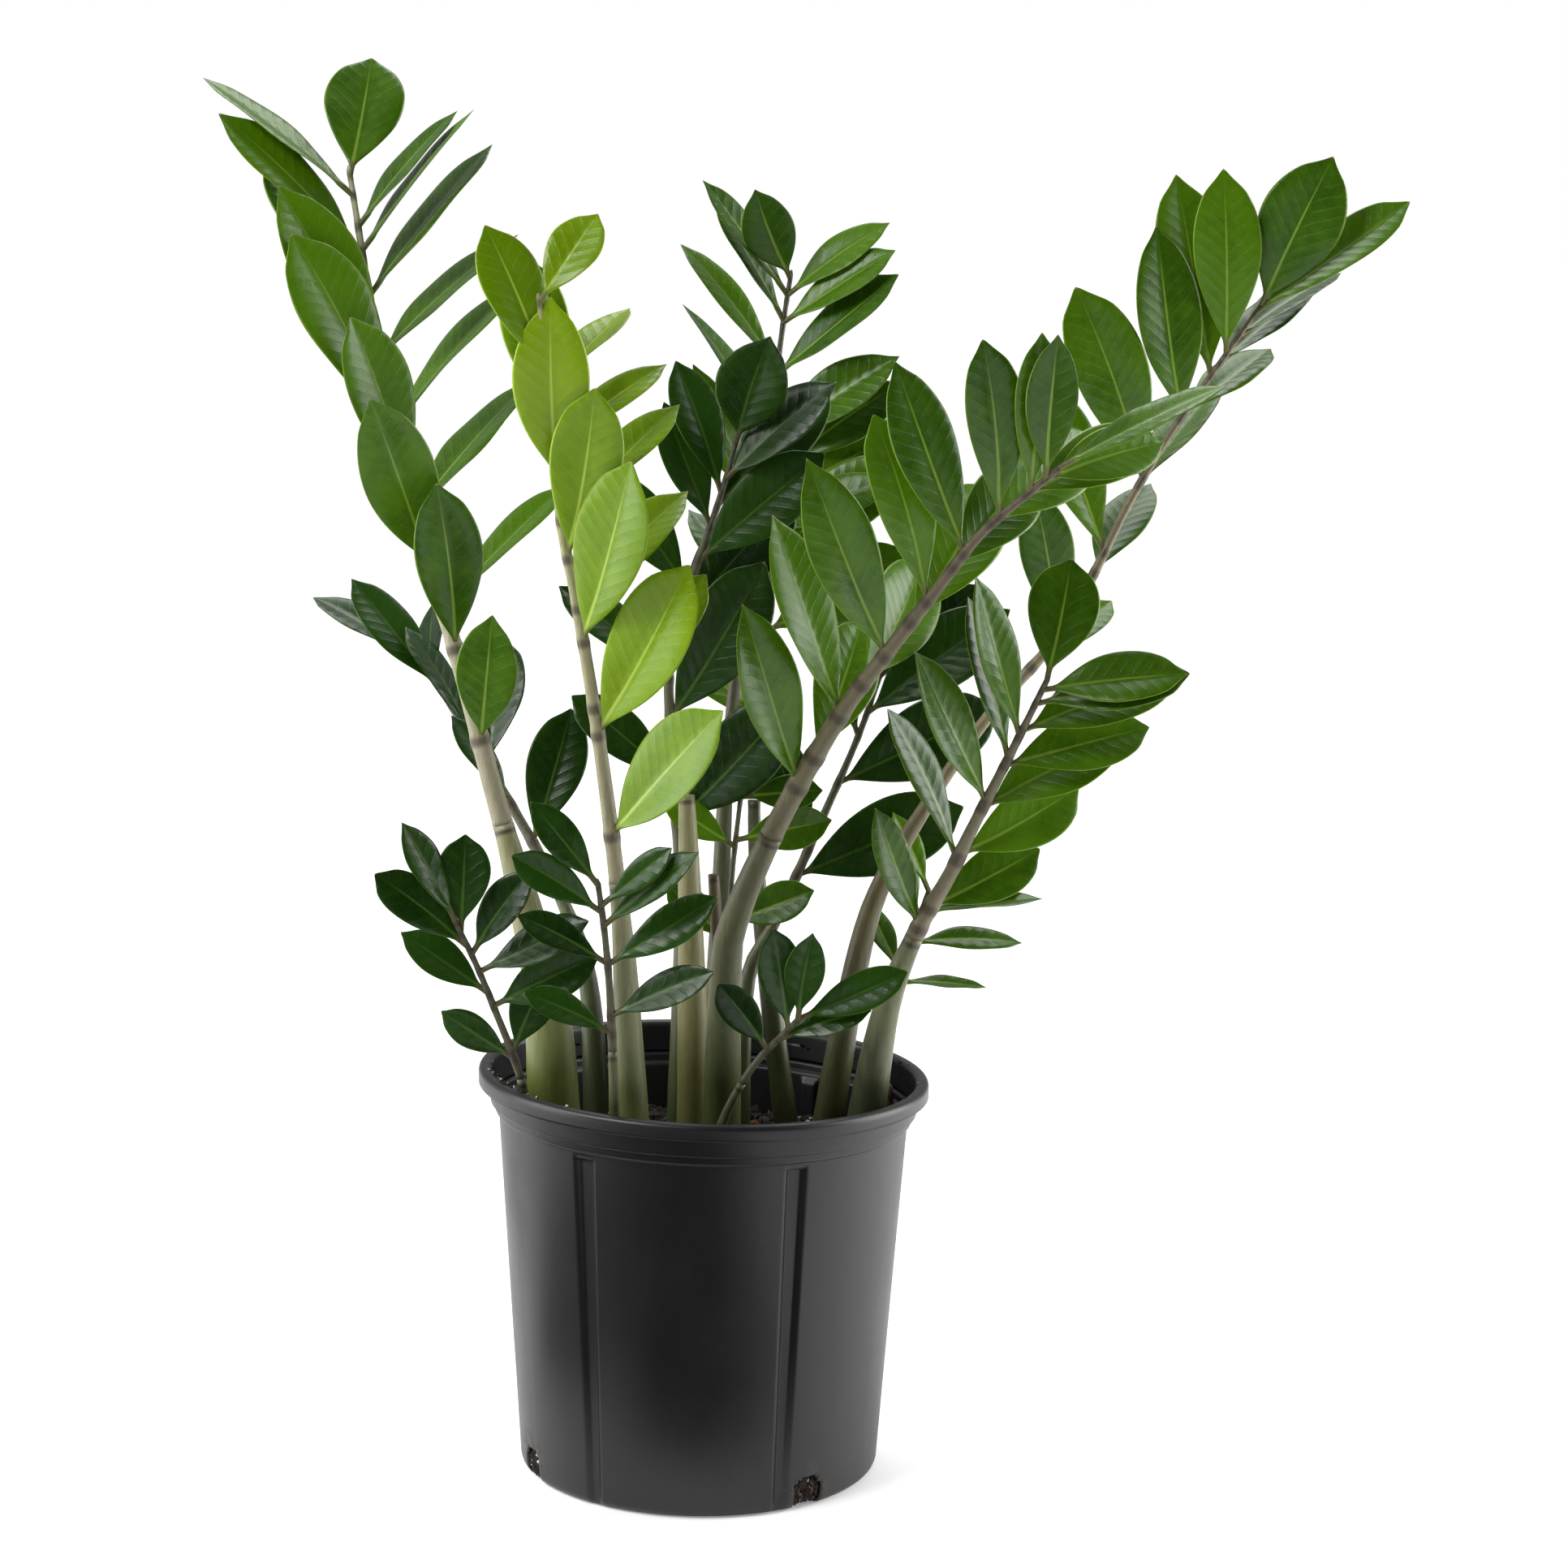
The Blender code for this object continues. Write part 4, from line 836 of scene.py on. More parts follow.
def stalk_skin(name, low, high, blotch, ring_at, red=0.0):
    """Stalk skin that goes from one colour at the soil to another at the ring, with blotches."""
    skin = Finish(name, Roughness=0.42, IOR=1.45)
    along, _, tone = skin.read("growth")
    drawn = skin.stretched(1, 1, 0.18)
    streak = skin.noise(330, 4, 0.6, drawn)
    patch = skin.noise(48, 3, 0.55, skin.stretched(1, 1, 0.45))
    speck = skin.noise(900, 2, 0.6)
    body = along.ramp(0.02, ring_at).mix(low, high)
    body = (streak.ramp(0.35, 0.75) * 0.35).mix(body, blotch)
    body = patch.ramp(0.54, 0.72, 0.0, 0.55).mix(body, blotch)
    body = (speck.ramp(0.66, 0.78) * 0.35).mix(body, (0.36, 0.36, 0.18))
    foot = along.ramp(0.018, 0.045, 1.0, 0.0) * patch.ramp(0.35, 0.7)
    body = (foot * 0.7).mix(body, (0.055, 0.030, 0.020))
    scar = abs(along - ring_at).ramp(0.0, 0.0026, 1.0, 0.0)
    skin.feed(
        Base_Color=(scar * 0.85).mix(body, (0.030, 0.026, 0.016)),
        Roughness=patch * 0.16 + speck * 0.08 + 0.30,
        Normal=skin.bump(streak * 0.6 + patch * 0.4, 0.0005),
    )
    return skin.material


STALK_LOOKS = {
    "left_tall": ((0.170, 0.205, 0.038), (0.235, 0.225, 0.120), (0.085, 0.110, 0.020)),
    "left_back": ((0.030, 0.042, 0.014), (0.090, 0.100, 0.045), (0.014, 0.020, 0.008)),
    "left_bright": ((0.125, 0.150, 0.040), (0.215, 0.205, 0.110), (0.060, 0.072, 0.022)),
    "front_right": ((0.075, 0.098, 0.028), (0.105, 0.098, 0.050), (0.030, 0.040, 0.014)),
    "right_broad": ((0.052, 0.068, 0.030), (0.150, 0.155, 0.070), (0.022, 0.032, 0.014)),
    "right_tall": ((0.070, 0.076, 0.026), (0.150, 0.125, 0.065), (0.046, 0.028, 0.016)),
    "right_low": ((0.170, 0.195, 0.040), (0.180, 0.200, 0.080), (0.090, 0.110, 0.030)),
}
PLAIN_STALK = ((0.050, 0.066, 0.020), (0.095, 0.098, 0.046), (0.022, 0.030, 0.010))

for number, frond in enumerate(FRONDS):
    spots = np.linspace(0, frond.ring, frond.ring * 3 + 1)
    route, ways = frond.at(spots)
    along = spots * RIB_PITCH
    widths = frond.width(spots) * (1 + 0.012 * np.sin(along * 90 + number))
    widths *= 1 + 0.07 * np.exp(-(((along - along[-1]) / (3 * MM)) ** 2))
    route[-1] -= ways[-1] * JOINT_GAP / 2
    points, faces = tube(route, ways, widths, 0.03, number)
    low, high, blotch = STALK_LOOKS.get(frond.name, PLAIN_STALK)
    skin = stalk_skin("stalk_skin_" + frond.name, low, high, blotch, float(along[-1]) - 0.004)
    name = "petiole_" + frond.name
    made = piece(name, points, faces, skin, "stalk_" + frond.name, slot="stalk_green")
    growth(made, along, number / 15)

# ---- The stubs ----
# Two old fronds whose blades have dropped at the ring. The green one still stores water, and the
# thin brown one has dried out.
STUBS = [
    Frond("green", (-0.045, -0.09), [(-0.2, 0, 8), (-0.5, 0, 16), (-0.7, 0, 20.3)], (20, 9), 1.0, []),
    Frond("brown", (0.14, 0.03), [(-0.5, -0.2, 6), (-1.2, -0.4, 15.7)], (10, 6), 1.0, []),
]
STUB_LOOKS = [
    ((0.200, 0.190, 0.060), (0.230, 0.215, 0.105), (0.110, 0.105, 0.036)),
    ((0.110, 0.075, 0.035), (0.120, 0.085, 0.050), (0.050, 0.030, 0.016)),
]
for frond, look, slot in zip(STUBS, STUB_LOOKS, ("stalk_green", "stub_brown")):
    spots = np.linspace(0, frond.last, frond.last * 3 + 1)
    route, ways = frond.at(spots)
    along = spots * RIB_PITCH
    widths = frond.width(spots) * (1 + 0.012 * np.sin(along * 80))
    points, faces = tube(route, ways, widths, 0.04, 1.0)
    skin = stalk_skin("stub_skin_" + frond.name, *look, float(along[-1]) - 0.003)
    made = piece("old_" + frond.name, points, faces, skin, "stub_" + frond.name, slot=slot)
    growth(made, along, 0.5)

# ---- The tuber ----
# The neck of one tuber stands out of the mix by the right wall, under rough pinkish brown bark with
# orange flakes. It is 17 mm across, and its own small frond grows from its top.
TUBER_SIDES = 64
outline = [(0.3, 50), (5.0, 50), (7.3, 47.5), (8.0, 42), (8.5, 36), (8.2, 26), (8.0, 15), (6.8, 5)]
outline += [(5.9, 0), (0.3, 0)]
corners = [(r * MM, z * MM, 0.6 * MM if 0 < k < 9 else 0) for k, (r, z) in enumerate(outline)]
path = rounded_path(corners, 0.9 * MM)
turn = np.linspace(0, 2 * math.pi, TUBER_SIDES, endpoint=False)[None]
rough = 1 + 0.035 * np.sin(5 * turn + 300 * path[:, 1:]) + 0.03 * np.sin(9 * turn - 480 * path[:, 1:])
rough = rough + 0.02 * np.sin(17 * turn + 900 * path[:, 1:]) - 0.06
points = around(turn, path[:, :1] * rough, path[:, 1:] + 0 * turn)
points += (TUBER_BASE[0] * SOIL_RADIUS, TUBER_BASE[1] * SOIL_RADIUS, SOIL_LEVEL - TUBER_SUNK)
faces = grid(len(path), TUBER_SIDES).tolist()
last = (len(path) - 1) * TUBER_SIDES
faces += [tuple(range(TUBER_SIDES))[::-1], tuple(range(last, last + TUBER_SIDES))]
bark = Finish("tuber_bark", Roughness=0.85)
ridge = bark.noise(420, 5, 0.7, bark.stretched(1, 1, 0.6))
flake = bark.noise(120, 4, 0.6)
skin = ridge.ramp(0.35, 0.7).mix((0.070, 0.036, 0.026), (0.230, 0.125, 0.095))
bark.feed(
    Base_Color=flake.ramp(0.55, 0.66).mix(skin, (0.30, 0.115, 0.040)),
    Normal=bark.bump(ridge, 0.0018),
)
piece("tuber_neck", points, [f[::-1] for f in faces], bark.material, "tuber", slot="tuber_bark")

# ---- The ribs ----
# Above the ring the frond goes on as a thin rib, taupe brown and a little woody, with a dark collar
# at each leaflet. It tapers to the last leaflet at its tip.


def uneven(i, kind):
    """A fixed small unevenness from -1 to 1, different for each leaflet and each kind of value."""
    return math.sin(2.4 * i + 1.7 * kind + 0.6)


def leaflets(frond):
    """Each leaflet of a frond as (spot, root, side, fore, turn, long, wide): its spot on the route, its
    root there, its three angles, and its size. A row is (count, start, end, swing, lean, length,
    width, face), and its leaflets crowd towards its end."""
    for count, start, end, swing, lean, length, width, face in frond.rows:
        for i in range(count):
            share = i / (count - 1) if count > 1 else 0.0
            spot = (start + (end - start) * (1 - (1 - share) ** CROWDING)) * frond.last
            root, rib = frond.at(spot)
            side = math.atan2(rib[0], rib[2]) + math.radians(between(swing, share) + 4 * uneven(i, 0))
            fore = math.radians(between(lean, share) + 5 * uneven(i, 1))
            long = between(length, share) * CM * (1 + 0.05 * uneven(i, 2))
            turn = math.radians(between(face, share) + 8 * uneven(i, 3))
            yield spot, root, side, fore, turn, long, long * width


RIB_LOOKS = {
    "left_tall": ((0.270, 0.245, 0.160), (0.330, 0.330, 0.200)),
    "left_bright": ((0.250, 0.225, 0.135), (0.300, 0.300, 0.120)),
    "front_right": ((0.120, 0.106, 0.056), (0.085, 0.064, 0.036)),
    "right_tall": ((0.190, 0.160, 0.085), (0.120, 0.098, 0.050)),
    "right_broad": ((0.160, 0.140, 0.085), (0.100, 0.090, 0.050)),
}
PLAIN_RIB = ((0.080, 0.075, 0.042), (0.060, 0.065, 0.032))


def rib_skin(name, low, high, start, end, collars):
    """Rib skin from one colour to another, darkened in a collar round each leaflet's root."""
    skin = Finish(name, Roughness=0.5, IOR=1.45)
    along, _, _ = skin.read("growth")
    streak = skin.noise(500, 4, 0.6, skin.stretched(1, 1, 0.25))
    patch = skin.noise(90, 3, 0.6)
    body = along.ramp(start, end).mix(low, high)
    body = (streak.ramp(0.4, 0.75) * 0.4).mix(body, tuple(c * 0.45 for c in low))
    body = patch.ramp(0.55, 0.72, 0.0, 0.5).mix(body, tuple(c * 0.55 for c in high))
    shade = None
    for collar in collars:
        near = abs(along - collar).ramp(0.0008, 0.0045, 1.0, 0.0)
        shade = near if shade is None else shade.maths("MAXIMUM", shade, near)
    skin.feed(
        Base_Color=(shade * 0.75).mix(body, (0.038, 0.024, 0.015)),
        Roughness=patch * 0.2 + 0.36,
        Normal=skin.bump(streak, 0.0004),
    )
    return skin.material


for number, frond in enumerate(FRONDS):
    spots = np.linspace(frond.ring, frond.last, (frond.last - frond.ring) * 4 + 1)
    route, ways = frond.at(spots)
    route[0] += ways[0] * JOINT_GAP / 2
    along = spots * RIB_PITCH
    roots = [leaf[0] * RIB_PITCH for leaf in leaflets(frond)]
    swell = sum(np.exp(-(((along - root) / (4 * MM)) ** 2)) for root in roots).clip(0, 1)
    widths = frond.width(spots) * (1 + 0.14 * swell)
    widths[0] *= 1.05
    widths[-1] *= 0.4
    points, faces = tube(route, ways, widths, 0.05, number)
    low, high = RIB_LOOKS.get(frond.name, PLAIN_RIB)
    skin = rib_skin("rib_skin_" + frond.name, low, high, float(along[0]), float(along[-1]), roots)
    name = "rib_" + frond.name
    made = piece(name, points, faces, skin, "blade_" + frond.name, slot="stalk_green")
    growth(made, along, number / 15)

# ---- The leaflets ----
# Thick waxy leaflets, widest past their middle and pointed, folded a little along a pale midrib that
# stands out underneath. Young ones are yellow green and the oldest nearly black green.


def leaf_axes(side, fore, turn):
    """The leaflet's direction and its upper side's direction, from its three angles."""
    along = np.array([math.sin(side) * math.cos(fore), -math.sin(fore), math.cos(side) * math.cos(fore)])
    flat = np.array([0.0, -1.0, 0.0]) + along * along[1]
    flat /= np.linalg.norm(flat)
    return along, flat * math.cos(turn) + np.cross(along, flat) * math.sin(turn)


def solid_sections(root, along, upper, long, wide, grow):
    """The solid leaflet's four-cornered sections and tip, grown all round, for finding free room."""
    across = np.cross(along, upper)
    sections = []
    for t in (0.0, 0.28, 0.6, 0.86):
        middle = root + along * (LEAF_NECK + (long - LEAF_NECK) * t) - upper * (LEAF_ARCH * long * t * t)
        half = NECK_HALF if t == 0.0 else wide / 2 * (t / 0.52) ** 0.9 * ((1 - t) / 0.48) ** 0.83
        lift, thick = upper * (half * LEAF_CREASE), upper * (LEAF_THICK / 2 + grow)
        reach = across * (half + grow)
        sections.append([middle - reach + lift, middle + thick, middle + reach + lift, middle - thick])
    return sections, root + along * (long + grow) - upper * (LEAF_ARCH * long)


def skin_tree(sections, tip):
    """The skin of four-cornered sections and a point, as a search tree."""
    points = [Vector(point) for section in sections for point in section] + [Vector(tip)]
    last = 4 * (len(sections) - 1)
    faces = [(0, 1, 2, 3)] + [(last + j, last + (j + 1) % 4, len(points) - 1) for j in range(4)]
    for k in range(0, last, 4):
        faces += [(k + j, k + (j + 1) % 4, k + (j + 1) % 4 + 4, k + j + 4) for j in range(4)]
    return BVHTree.FromPolygons(points, faces)


def collar_tree(root, along, upper, neck):
    """The swelling where a leaflet leaves the rib, as a search tree."""
    across = np.cross(along, upper)
    corners = ((-1, -1), (-1, 1), (1, 1), (1, -1))
    ring = [root + (across * a + upper * b) * COLLAR_HALF for a, b in corners]
    return skin_tree([ring, neck], root + along * LEAF_NECK * 1.2)


# A leaflet that would run into a neighbour grows round it: these turns (lean, swing) are tried in
# order, and then again at a shorter length.
DODGES = [(0, 0), (9, 0), (-9, 0), (0, 9), (0, -9), (18, 0), (-18, 0), (9, 14), (-9, -14), (27, 0)]
DODGES += [(-27, 0), (0, 22), (0, -22), (36, 0), (-36, 0), (18, 22), (-18, -22), (45, 0), (-45, 0)]


def place_leaf(root, side, fore, turn, long, wide, others, own):
    """The first pose of a leaflet that touches no neighbour, or None where it has no room."""
    for share in (1.0, 0.86, 0.72, 0.55):
        for lean, swing in DODGES:
            along, upper = leaf_axes(side + math.radians(swing), fore + math.radians(lean), turn)
            sizes = (long * share, wide * share)
            sections, tip = solid_sections(root, along, upper, *sizes, LEAF_CLEAR / 2)
            skin = skin_tree(sections, tip)
            base = collar_tree(root, along, upper, sections[0])
            touches = any(skin.overlap(tree) for tree in own + others)
            if not touches and not any(base.overlap(tree) for tree in others):
                return along, upper, *sizes, (skin, base)
    return None


ROWS, HALF_COLUMNS = 34, 11


def leaf_mesh(poses, seed):
    """All of a frond's leaflets as one grid: leaflets by rows along by columns round the section.

    A section is a thin lens: its edges are at c = -1 and 1, where c runs over the top and back under.
    The half width is (t / p) ** 1.06 * ((1 - t) / (1 - p)) ** (1.06 (1 - p) / p), widest at p of the
    length, eased into the neck and drawn out at the tip. The blade rises from its midrib to each
    side as a V, rolls back at its edges and waves a little along them. It arches back along its
    length and twists slightly to its tip.
    """
    wild = np.random.default_rng(seed)
    count = len(poses)
    root, along, upper = (np.array([pose[k] for pose in poses])[:, None, None] for k in range(3))
    long, wide = (np.array([pose[k] for pose in poses])[:, None, None] for k in (3, 4))
    across = np.cross(along, upper)
    phase, bow, roll, crease, sag = wild.uniform(-1, 1, (5, count))[:, :, None, None]
    t = (1 - np.cos(np.linspace(0, math.pi, ROWS))) / 2
    t = (0.75 * t + 0.25 * np.linspace(0, 1, ROWS))[None, :, None]
    c = np.sin(np.linspace(-math.pi / 2, math.pi / 2, HALF_COLUMNS))
    c = np.sign(c) * abs(c) ** 1.25
    round_c = np.concatenate([c, c[-2:0:-1]])[None, None]
    under = np.concatenate([np.zeros(HALF_COLUMNS), np.ones(HALF_COLUMNS - 2)])[None, None]
    neck = LEAF_NECK * 0.8 / long
    u = np.clip((t - neck) / (1 - neck), 1e-6, 1 - 1e-6)
    peak = 0.57 + 0.035 * bow
    outline = (u / peak) ** 1.06 * ((1 - u) / (1 - peak)) ** (1.06 * (1 - peak) / peak)
    outline *= 1 - 0.40 * smooth(u, 0.86, 1.0)
    stem = 1.25 * MM * (1 - smooth(u, 0.0, 0.12)) + 0.35 * MM
    half = np.hypot(wide / 2 * outline, stem * (1 - smooth(u, 0.85, 1.0)))
    lens = np.sqrt(np.clip(1 - round_c**2, 0, 1))
    thick = (0.42 * MM + 1.1 * MM * (1 - smooth(u, 0.0, 0.10))) * (1 - smooth(u, 0.9, 1.0) * 0.8)
    rib = np.exp(-((round_c * half / (1.0 * MM + 0.9 * MM * (1 - u))) ** 2)) * (1 - u) ** 0.6
    face = np.where(under > 0, -1.0, 1.0)
    lift = face * thick * lens + np.where(under > 0, -0.75, 0.30) * MM * rib * smooth(u, 0, 0.06)
    fold = (0.33 + 0.09 * crease) * (1 - 0.30 * u)
    edge = abs(round_c)
    lift = lift + half * (fold * edge - (0.10 + 0.05 * roll) * edge**4)
    wave = np.sin(u * (9 + 3 * phase) + 5 * phase + np.sign(round_c) * 1.3)
    lift = lift + 0.045 * half * edge**2 * wave * smooth(u, 0.05, 0.4)
    arch = LEAF_ARCH * long * (1 + 0.45 * sag) * t**2
    sway = 0.022 * bow * long * np.sin(math.pi * np.clip(t, 0, 1)) * smooth(t, 0, 0.3)
    turn = 0.16 * phase * t
    over = round_c * half * np.cos(turn) - lift * np.sin(turn) + sway
    rise = round_c * half * np.sin(turn) + lift * np.cos(turn) - arch
    ahead = np.broadcast_to(t * long, over.shape)
    points = root + along * ahead[..., None] + across * over[..., None] + upper * rise[..., None]
    columns = 2 * HALF_COLUMNS - 2
    ends = np.stack([root[:, 0, 0], points[:, -1].mean(1) + along[:, 0, 0] * 0.2 * MM], 1)
    block = ROWS * columns + 2
    faces = grid(ROWS, columns)
    j = np.arange(columns)
    first = np.stack([0 * j + ROWS * columns, (j + 1) % columns, j, j], -1)
    last = (ROWS - 1) * columns
    second = np.stack([0 * j + ROWS * columns + 1, last + j, last + (j + 1) % columns, last + j], -1)
    points = np.concatenate([points.reshape(count, -1, 3), ends], 1)
    offsets = block * np.arange(count)[:, None, None]
    quads = (faces[None] + offsets).reshape(-1, 4)
    tris = (np.vstack([first[:, :3], second[:, :3]])[None] + offsets).reshape(-1, 3)
    shape = np.broadcast_to
    size = (count, ROWS, columns)
    place = np.stack([shape(round_c * half, size), shape(u * long, size), shape(u, size)], -1)
    own = wild.random(count)[:, None, None]
    share = np.stack([shape(edge, size), shape(under, size), shape(own, size)], -1)
    tip = np.zeros((count, 2, 3))
    tip[:, 1, 1], tip[:, 1, 2] = long[:, 0, 0], 1.0
    other = np.stack([share[:, 0, 0], share[:, -1, 0]], 1)
    place = np.concatenate([place.reshape(count, -1, 3), tip], 1)
    share = np.concatenate([share.reshape(count, -1, 3), other], 1)
    return points, [*quads.tolist(), *tris.tolist()], place, share


def leaf_wax(name, dark, light, vein, edge, below):
    """Leaf skin: two greens in soft patches, pale midrib and edge, faint side veins, paler below."""
    leaf = Finish(name, IOR=1.45, Specular_IOR_Level=0.36)
    across, along, share = leaf.read("leaf_place")
    rim, under, own = leaf.read("leaf_share")
    far = abs(across)
    patch = leaf.noise(38, 3, 0.55)
    mottle = leaf.noise(170, 4, 0.6)
    pore = leaf.noise(1300, 2, 0.5)
    tone = patch * 0.6 + own * 0.6 + mottle * 0.4 - 0.32
    body = tone.ramp(0.1, 0.8).mix(dark, light)
    body = (share.ramp(0.0, 0.35, 1.0, 0.0) * 0.35).mix(body, light)
    bend = (along - far * (1.25 - share * 0.5)) / 0.0085 + mottle * 0.35
    line = abs(bend.maths("FRACT", bend) - 0.5).ramp(0.0, 0.085, 1.0, 0.0)
    line = line * far.ramp(0.0012, 0.004) * rim.ramp(0.75, 0.97, 1.0, 0.0)
    quilt = abs(bend.maths("FRACT", bend) - 0.5).ramp(0.0, 0.5, 1.0, 0.0)
    body = (line * 0.10).mix(body, vein)
    spine = far / (0.0014 - share * 0.0010)
    spine = spine.ramp(0.35, 1.0, 1.0, 0.0) * share.ramp(0.55, 0.97, 1.0, 0.15)
    body = (spine * 0.72).mix(body, vein)
    body = (under * 0.62).mix(body, below)
    margin = rim.ramp(0.955, 0.998)
    body = (margin * 0.7).mix(body, edge)
    body = share.ramp(0.982, 0.998, 0.0, 0.7).mix(body, (0.30, 0.22, 0.05))
    body = share.ramp(0.0, 0.07, 0.75, 0.0).mix(body, (0.085, 0.065, 0.030))
    height = mottle * 0.3 + quilt * 0.16 + line * 0.12
    leaf.feed(
        Base_Color=body,
        Roughness=patch * 0.14 + pore * 0.06 + mottle * 0.08 + under * 0.18 + 0.15,
        Normal=leaf.bump(height, 0.0005, leaf.bump(pore, 0.00002)),
    )
    return leaf.material


# Each look's dark green, light green, vein, edge and underside.
LEAF_LOOKS = {
    LEAF_GREEN: (
        *((0.021, 0.066, 0.0006), (0.066, 0.158, 0.0012), (0.20, 0.31, 0.040)),
        *((0.22, 0.34, 0.020), (0.085, 0.150, 0.030)),
    ),
    DARK_GREEN: (
        *((0.0036, 0.0165, 0.0008), (0.0140, 0.0500, 0.0020), (0.050, 0.105, 0.016)),
        *((0.06, 0.13, 0.012), (0.036, 0.075, 0.018)),
    ),
    YOUNG_GREEN: (
        *((0.092, 0.182, 0.0006), (0.165, 0.275, 0.0012), (0.36, 0.48, 0.070)),
        *((0.38, 0.50, 0.040), (0.200, 0.310, 0.030)),
    ),
}
waxes = {look: leaf_wax(look, *colours) for look, colours in LEAF_LOOKS.items()}


def stem_tree(frond):
    """A frond's stalk and rib as a search tree, for leaflets of other fronds to keep clear of."""
    spots = np.arange(frond.last + 1)
    side = np.array([1.0, 0.0, 0.0])
    rings = []
    for place, way, width in zip(frond.route, frond.at(spots)[1], frond.width(spots)):
        out = np.cross(way, np.cross(side, way))
        out /= np.linalg.norm(out)
        back = np.cross(way, out)
        turns = np.arange(4) * math.pi / 2
        rings.append([place + (out * math.cos(a) + back * math.sin(a)) * width / 2 for a in turns])
    return skin_tree(rings, frond.route[-1] + frond.at(frond.last)[1] * MM)


stems = [stem_tree(frond) for frond in FRONDS + STUBS]
grown = []
for number, frond in enumerate(FRONDS):
    others = stems[:number] + stems[number + 1 :] + grown
    own, collars, poses = [], [], []
    for spot, root, *angles, long, wide in leaflets(frond):
        pose = place_leaf(root, *angles, long, wide, others, own)
        if pose is None:
            continue
        along, upper, long, wide, (skin, base) = pose
        own.append(skin)
        collars.append(base)
        poses.append((root, along, upper, long, wide))
    grown += own + collars
    points, faces, place, share = leaf_mesh(poses, 100 + number)
    name = "leaflets_" + frond.name
    made = piece(name, points, faces, waxes[frond.look], "blade_" + frond.name, slot=frond.look)
    note(made, "leaf_place", place)
    note(made, "leaf_share", share)

# ---- The studio ----
# White floor and white background, a big soft light at each side, a weaker one above the camera, and the
# camera a little above the plant, looking slightly down.
scene = bpy.context.scene
paper = Finish("white_floor", Roughness=0.9)
paper.shader.inputs["Base Color"].default_value = (0.93, 0.93, 0.93, 1)
gap = paper.node("VectorMath", {"operation": "LENGTH"}, {0: paper.place}, 1)
paper.feed(Emission_Color=gap.ramp(0.5, 3.0).mix((0.30, 0.30, 0.30), (1.0, 1.0, 1.0)))
paper.shader.inputs["Emission Strength"].default_value = 0.85


def studio_sheet(name, corners, finish):
    """A flat sheet in the studio, which is no part of the plant."""
    mesh = bpy.data.meshes.new(name)
    mesh.from_pydata(corners, [], [range(len(corners))])
    mesh.materials.append(finish.material)
    sheet = bpy.data.objects.new(name, mesh)
    scene.collection.objects.link(sheet)
    return sheet


floor = studio_sheet("floor", [(-30, -6, 0), (30, -6, 0), (30, 60, 0), (-30, 60, 0)], paper)
floor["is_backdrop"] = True

# A black card lies on the floor in front and at the left of the pot. It keeps the pot's front dark,
# and only reflections show it.
outline = [(-0.7, -1.6), (0.24, -1.6), (0.2, -0.17), (-0.17, -0.17), (-0.26, 0.05), (-0.7, 0.05)]
velvet = Finish("black_velvet", Roughness=1.0)
velvet.shader.inputs["Base Color"].default_value = (0.004, 0.004, 0.004, 1)
card = studio_sheet("black_card", [(x, y, 1 * MM) for x, y in outline], velvet)
card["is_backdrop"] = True
card.visible_camera = card.visible_diffuse = card.visible_shadow = card.visible_transmission = False

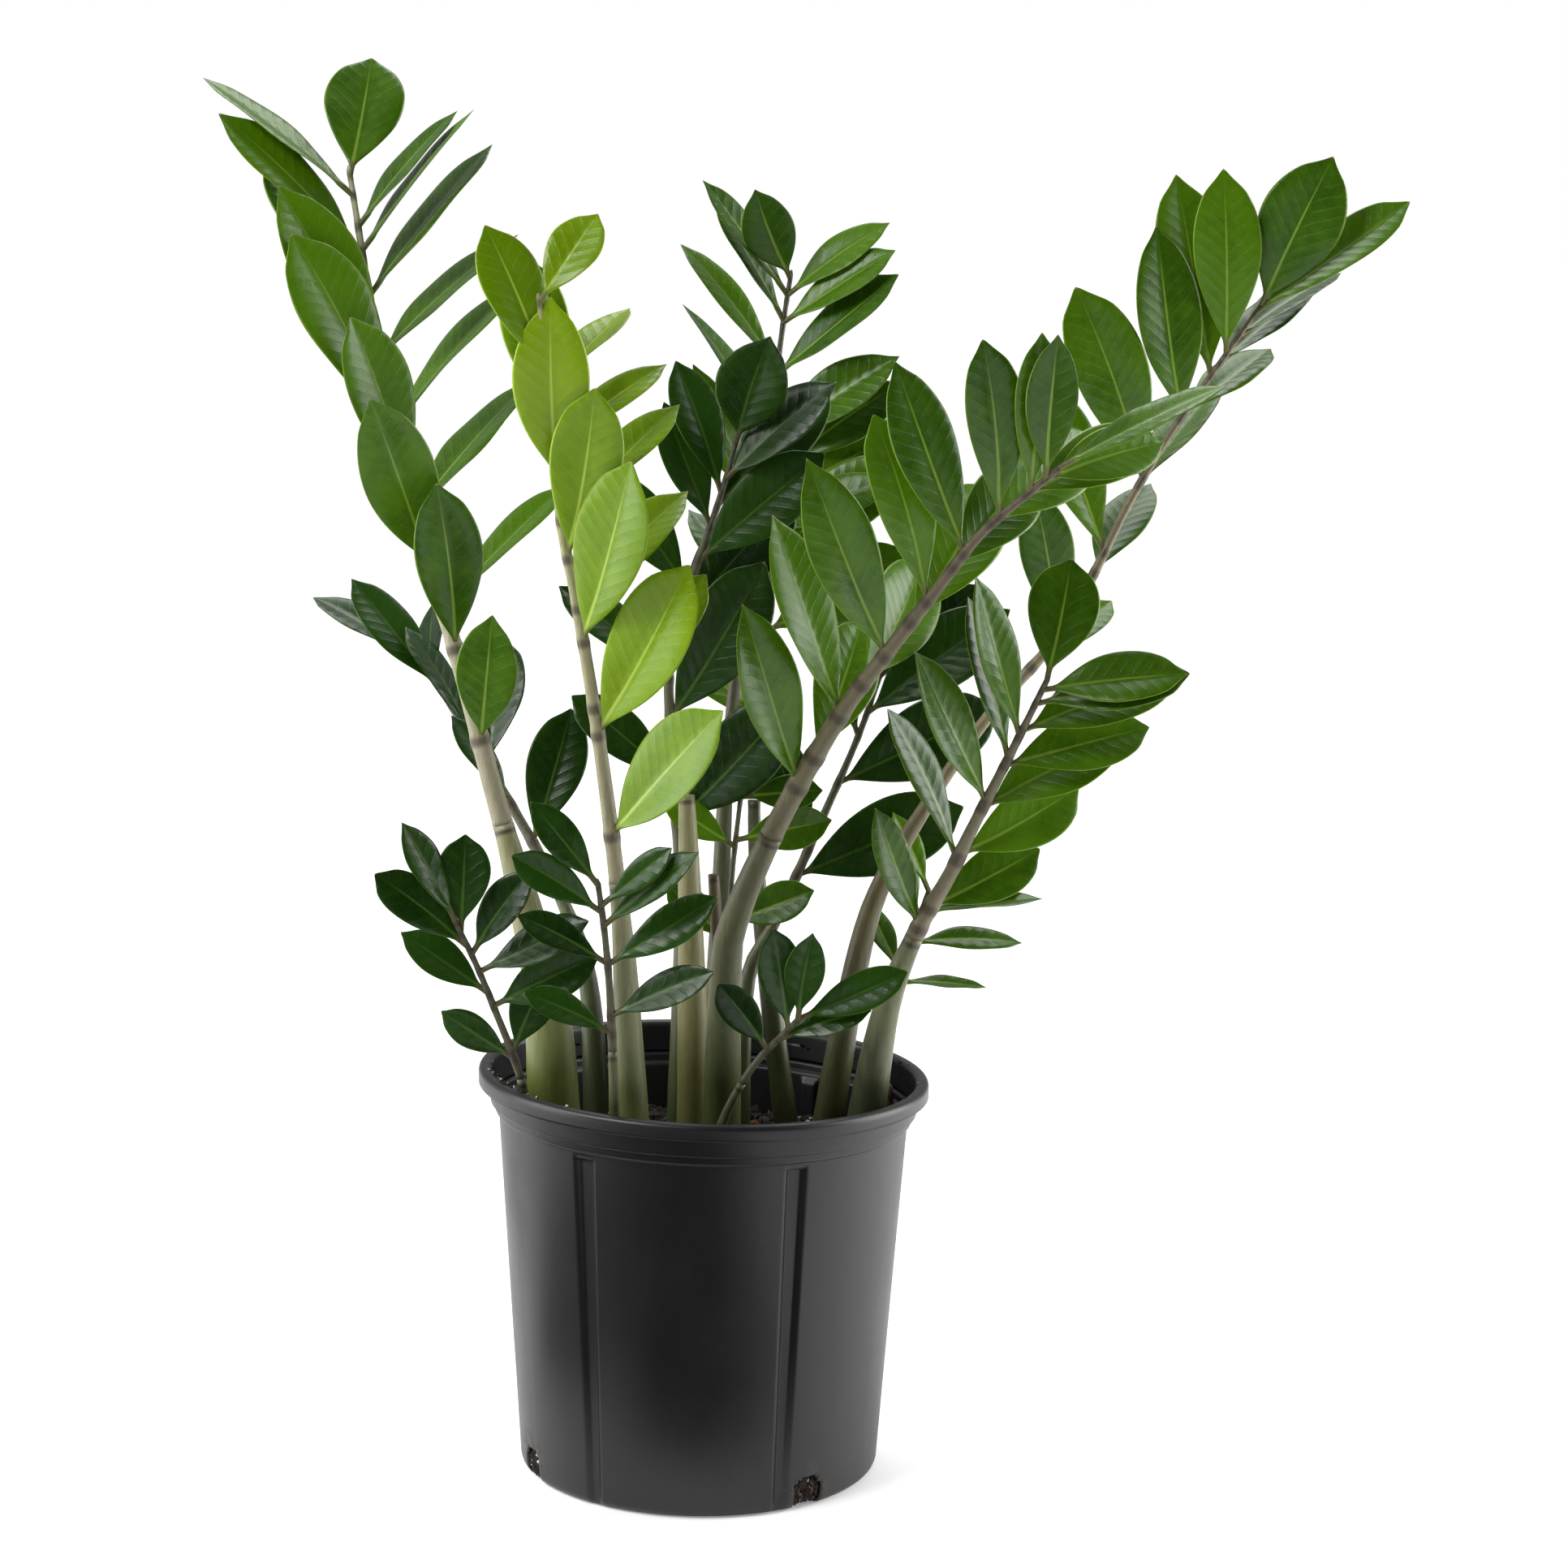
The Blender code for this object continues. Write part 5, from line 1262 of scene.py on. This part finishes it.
world = bpy.data.worlds.new("studio")
world.use_nodes = True
scene.world = world
back = world.node_tree.nodes["Background"]
back.inputs["Strength"].default_value = 0.36
sky = Wire(world.node_tree, None)
ahead_of = sky.node("SeparateXYZ", {}, {0: sky.node("TexCoord", out="Generated")}, 1)
glow = ahead_of.ramp(-0.55, 0.35).mix((0.10, 0.10, 0.10), (1.0, 1.0, 1.0))
world.node_tree.links.new(glow.socket, back.inputs["Color"])
seen = world.node_tree.nodes.new("ShaderNodeBackground")
seen.inputs["Color"].default_value = (1, 1, 1, 1)
ray = world.node_tree.nodes.new("ShaderNodeLightPath")
pick = world.node_tree.nodes.new("ShaderNodeMixShader")
for k, socket in enumerate((ray.outputs["Is Camera Ray"], back.outputs[0], seen.outputs[0])):
    world.node_tree.links.new(socket, pick.inputs[k])
world.node_tree.links.new(pick.outputs[0], world.node_tree.nodes["World Output"].inputs[0])


def soft_light(name, place, aim, size, power):
    """A square light of that size in metres and power in watts, turned to face a point."""
    lamp = bpy.data.lights.new(name, "AREA")
    lamp.shape = "RECTANGLE"
    lamp.size, lamp.size_y = size
    lamp.energy = power
    made = bpy.data.objects.new(name, lamp)
    scene.collection.objects.link(made)
    made.location = place
    made.rotation_euler = (Vector(aim) - Vector(place)).to_track_quat("-Z", "Y").to_euler()


soft_light("left_bank", (-2.0, -0.1, 1.1), (0, 0, 0.4), (1.5, 2.2), 46)
soft_light("right_bank", (2.0, 0.4, 0.8), (0, 0, 0.35), (1.5, 2.0), 58)
soft_light("over_camera", (-1.7, -1.5, 2.5), (0, 0, 0.5), (1.1, 1.1), 54)
soft_light("top_back", (0.2, 1.2, 2.4), (0, 0, 0.5), (1.6, 1.2), 26)

lens = bpy.data.cameras.new("camera")
lens.lens = 82.42
lens.sensor_width = 36
camera = bpy.data.objects.new("camera", lens)
scene.collection.objects.link(camera)
YAW, PITCH, ROLL = 0.0213, 0.1592, -0.0179
ahead = Vector((math.sin(YAW) * math.cos(PITCH), math.cos(YAW) * math.cos(PITCH), -math.sin(PITCH)))
right = ahead.cross(Vector((0, 0, 1))).normalized()
up = right.cross(ahead)
right, up = right * math.cos(ROLL) - up * math.sin(ROLL), up * math.cos(ROLL) + right * math.sin(ROLL)
turned = Matrix((right, up, -ahead)).transposed()
camera.matrix_world = Matrix.Translation((0, -1.976, 0.709)) @ turned.to_4x4()
scene.camera = camera
scene.view_settings.view_transform = "Standard"

boxes = {"cad": solid_box, "visual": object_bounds()}
{key: [list(corner) for corner in box] for key, box in boxes.items()}
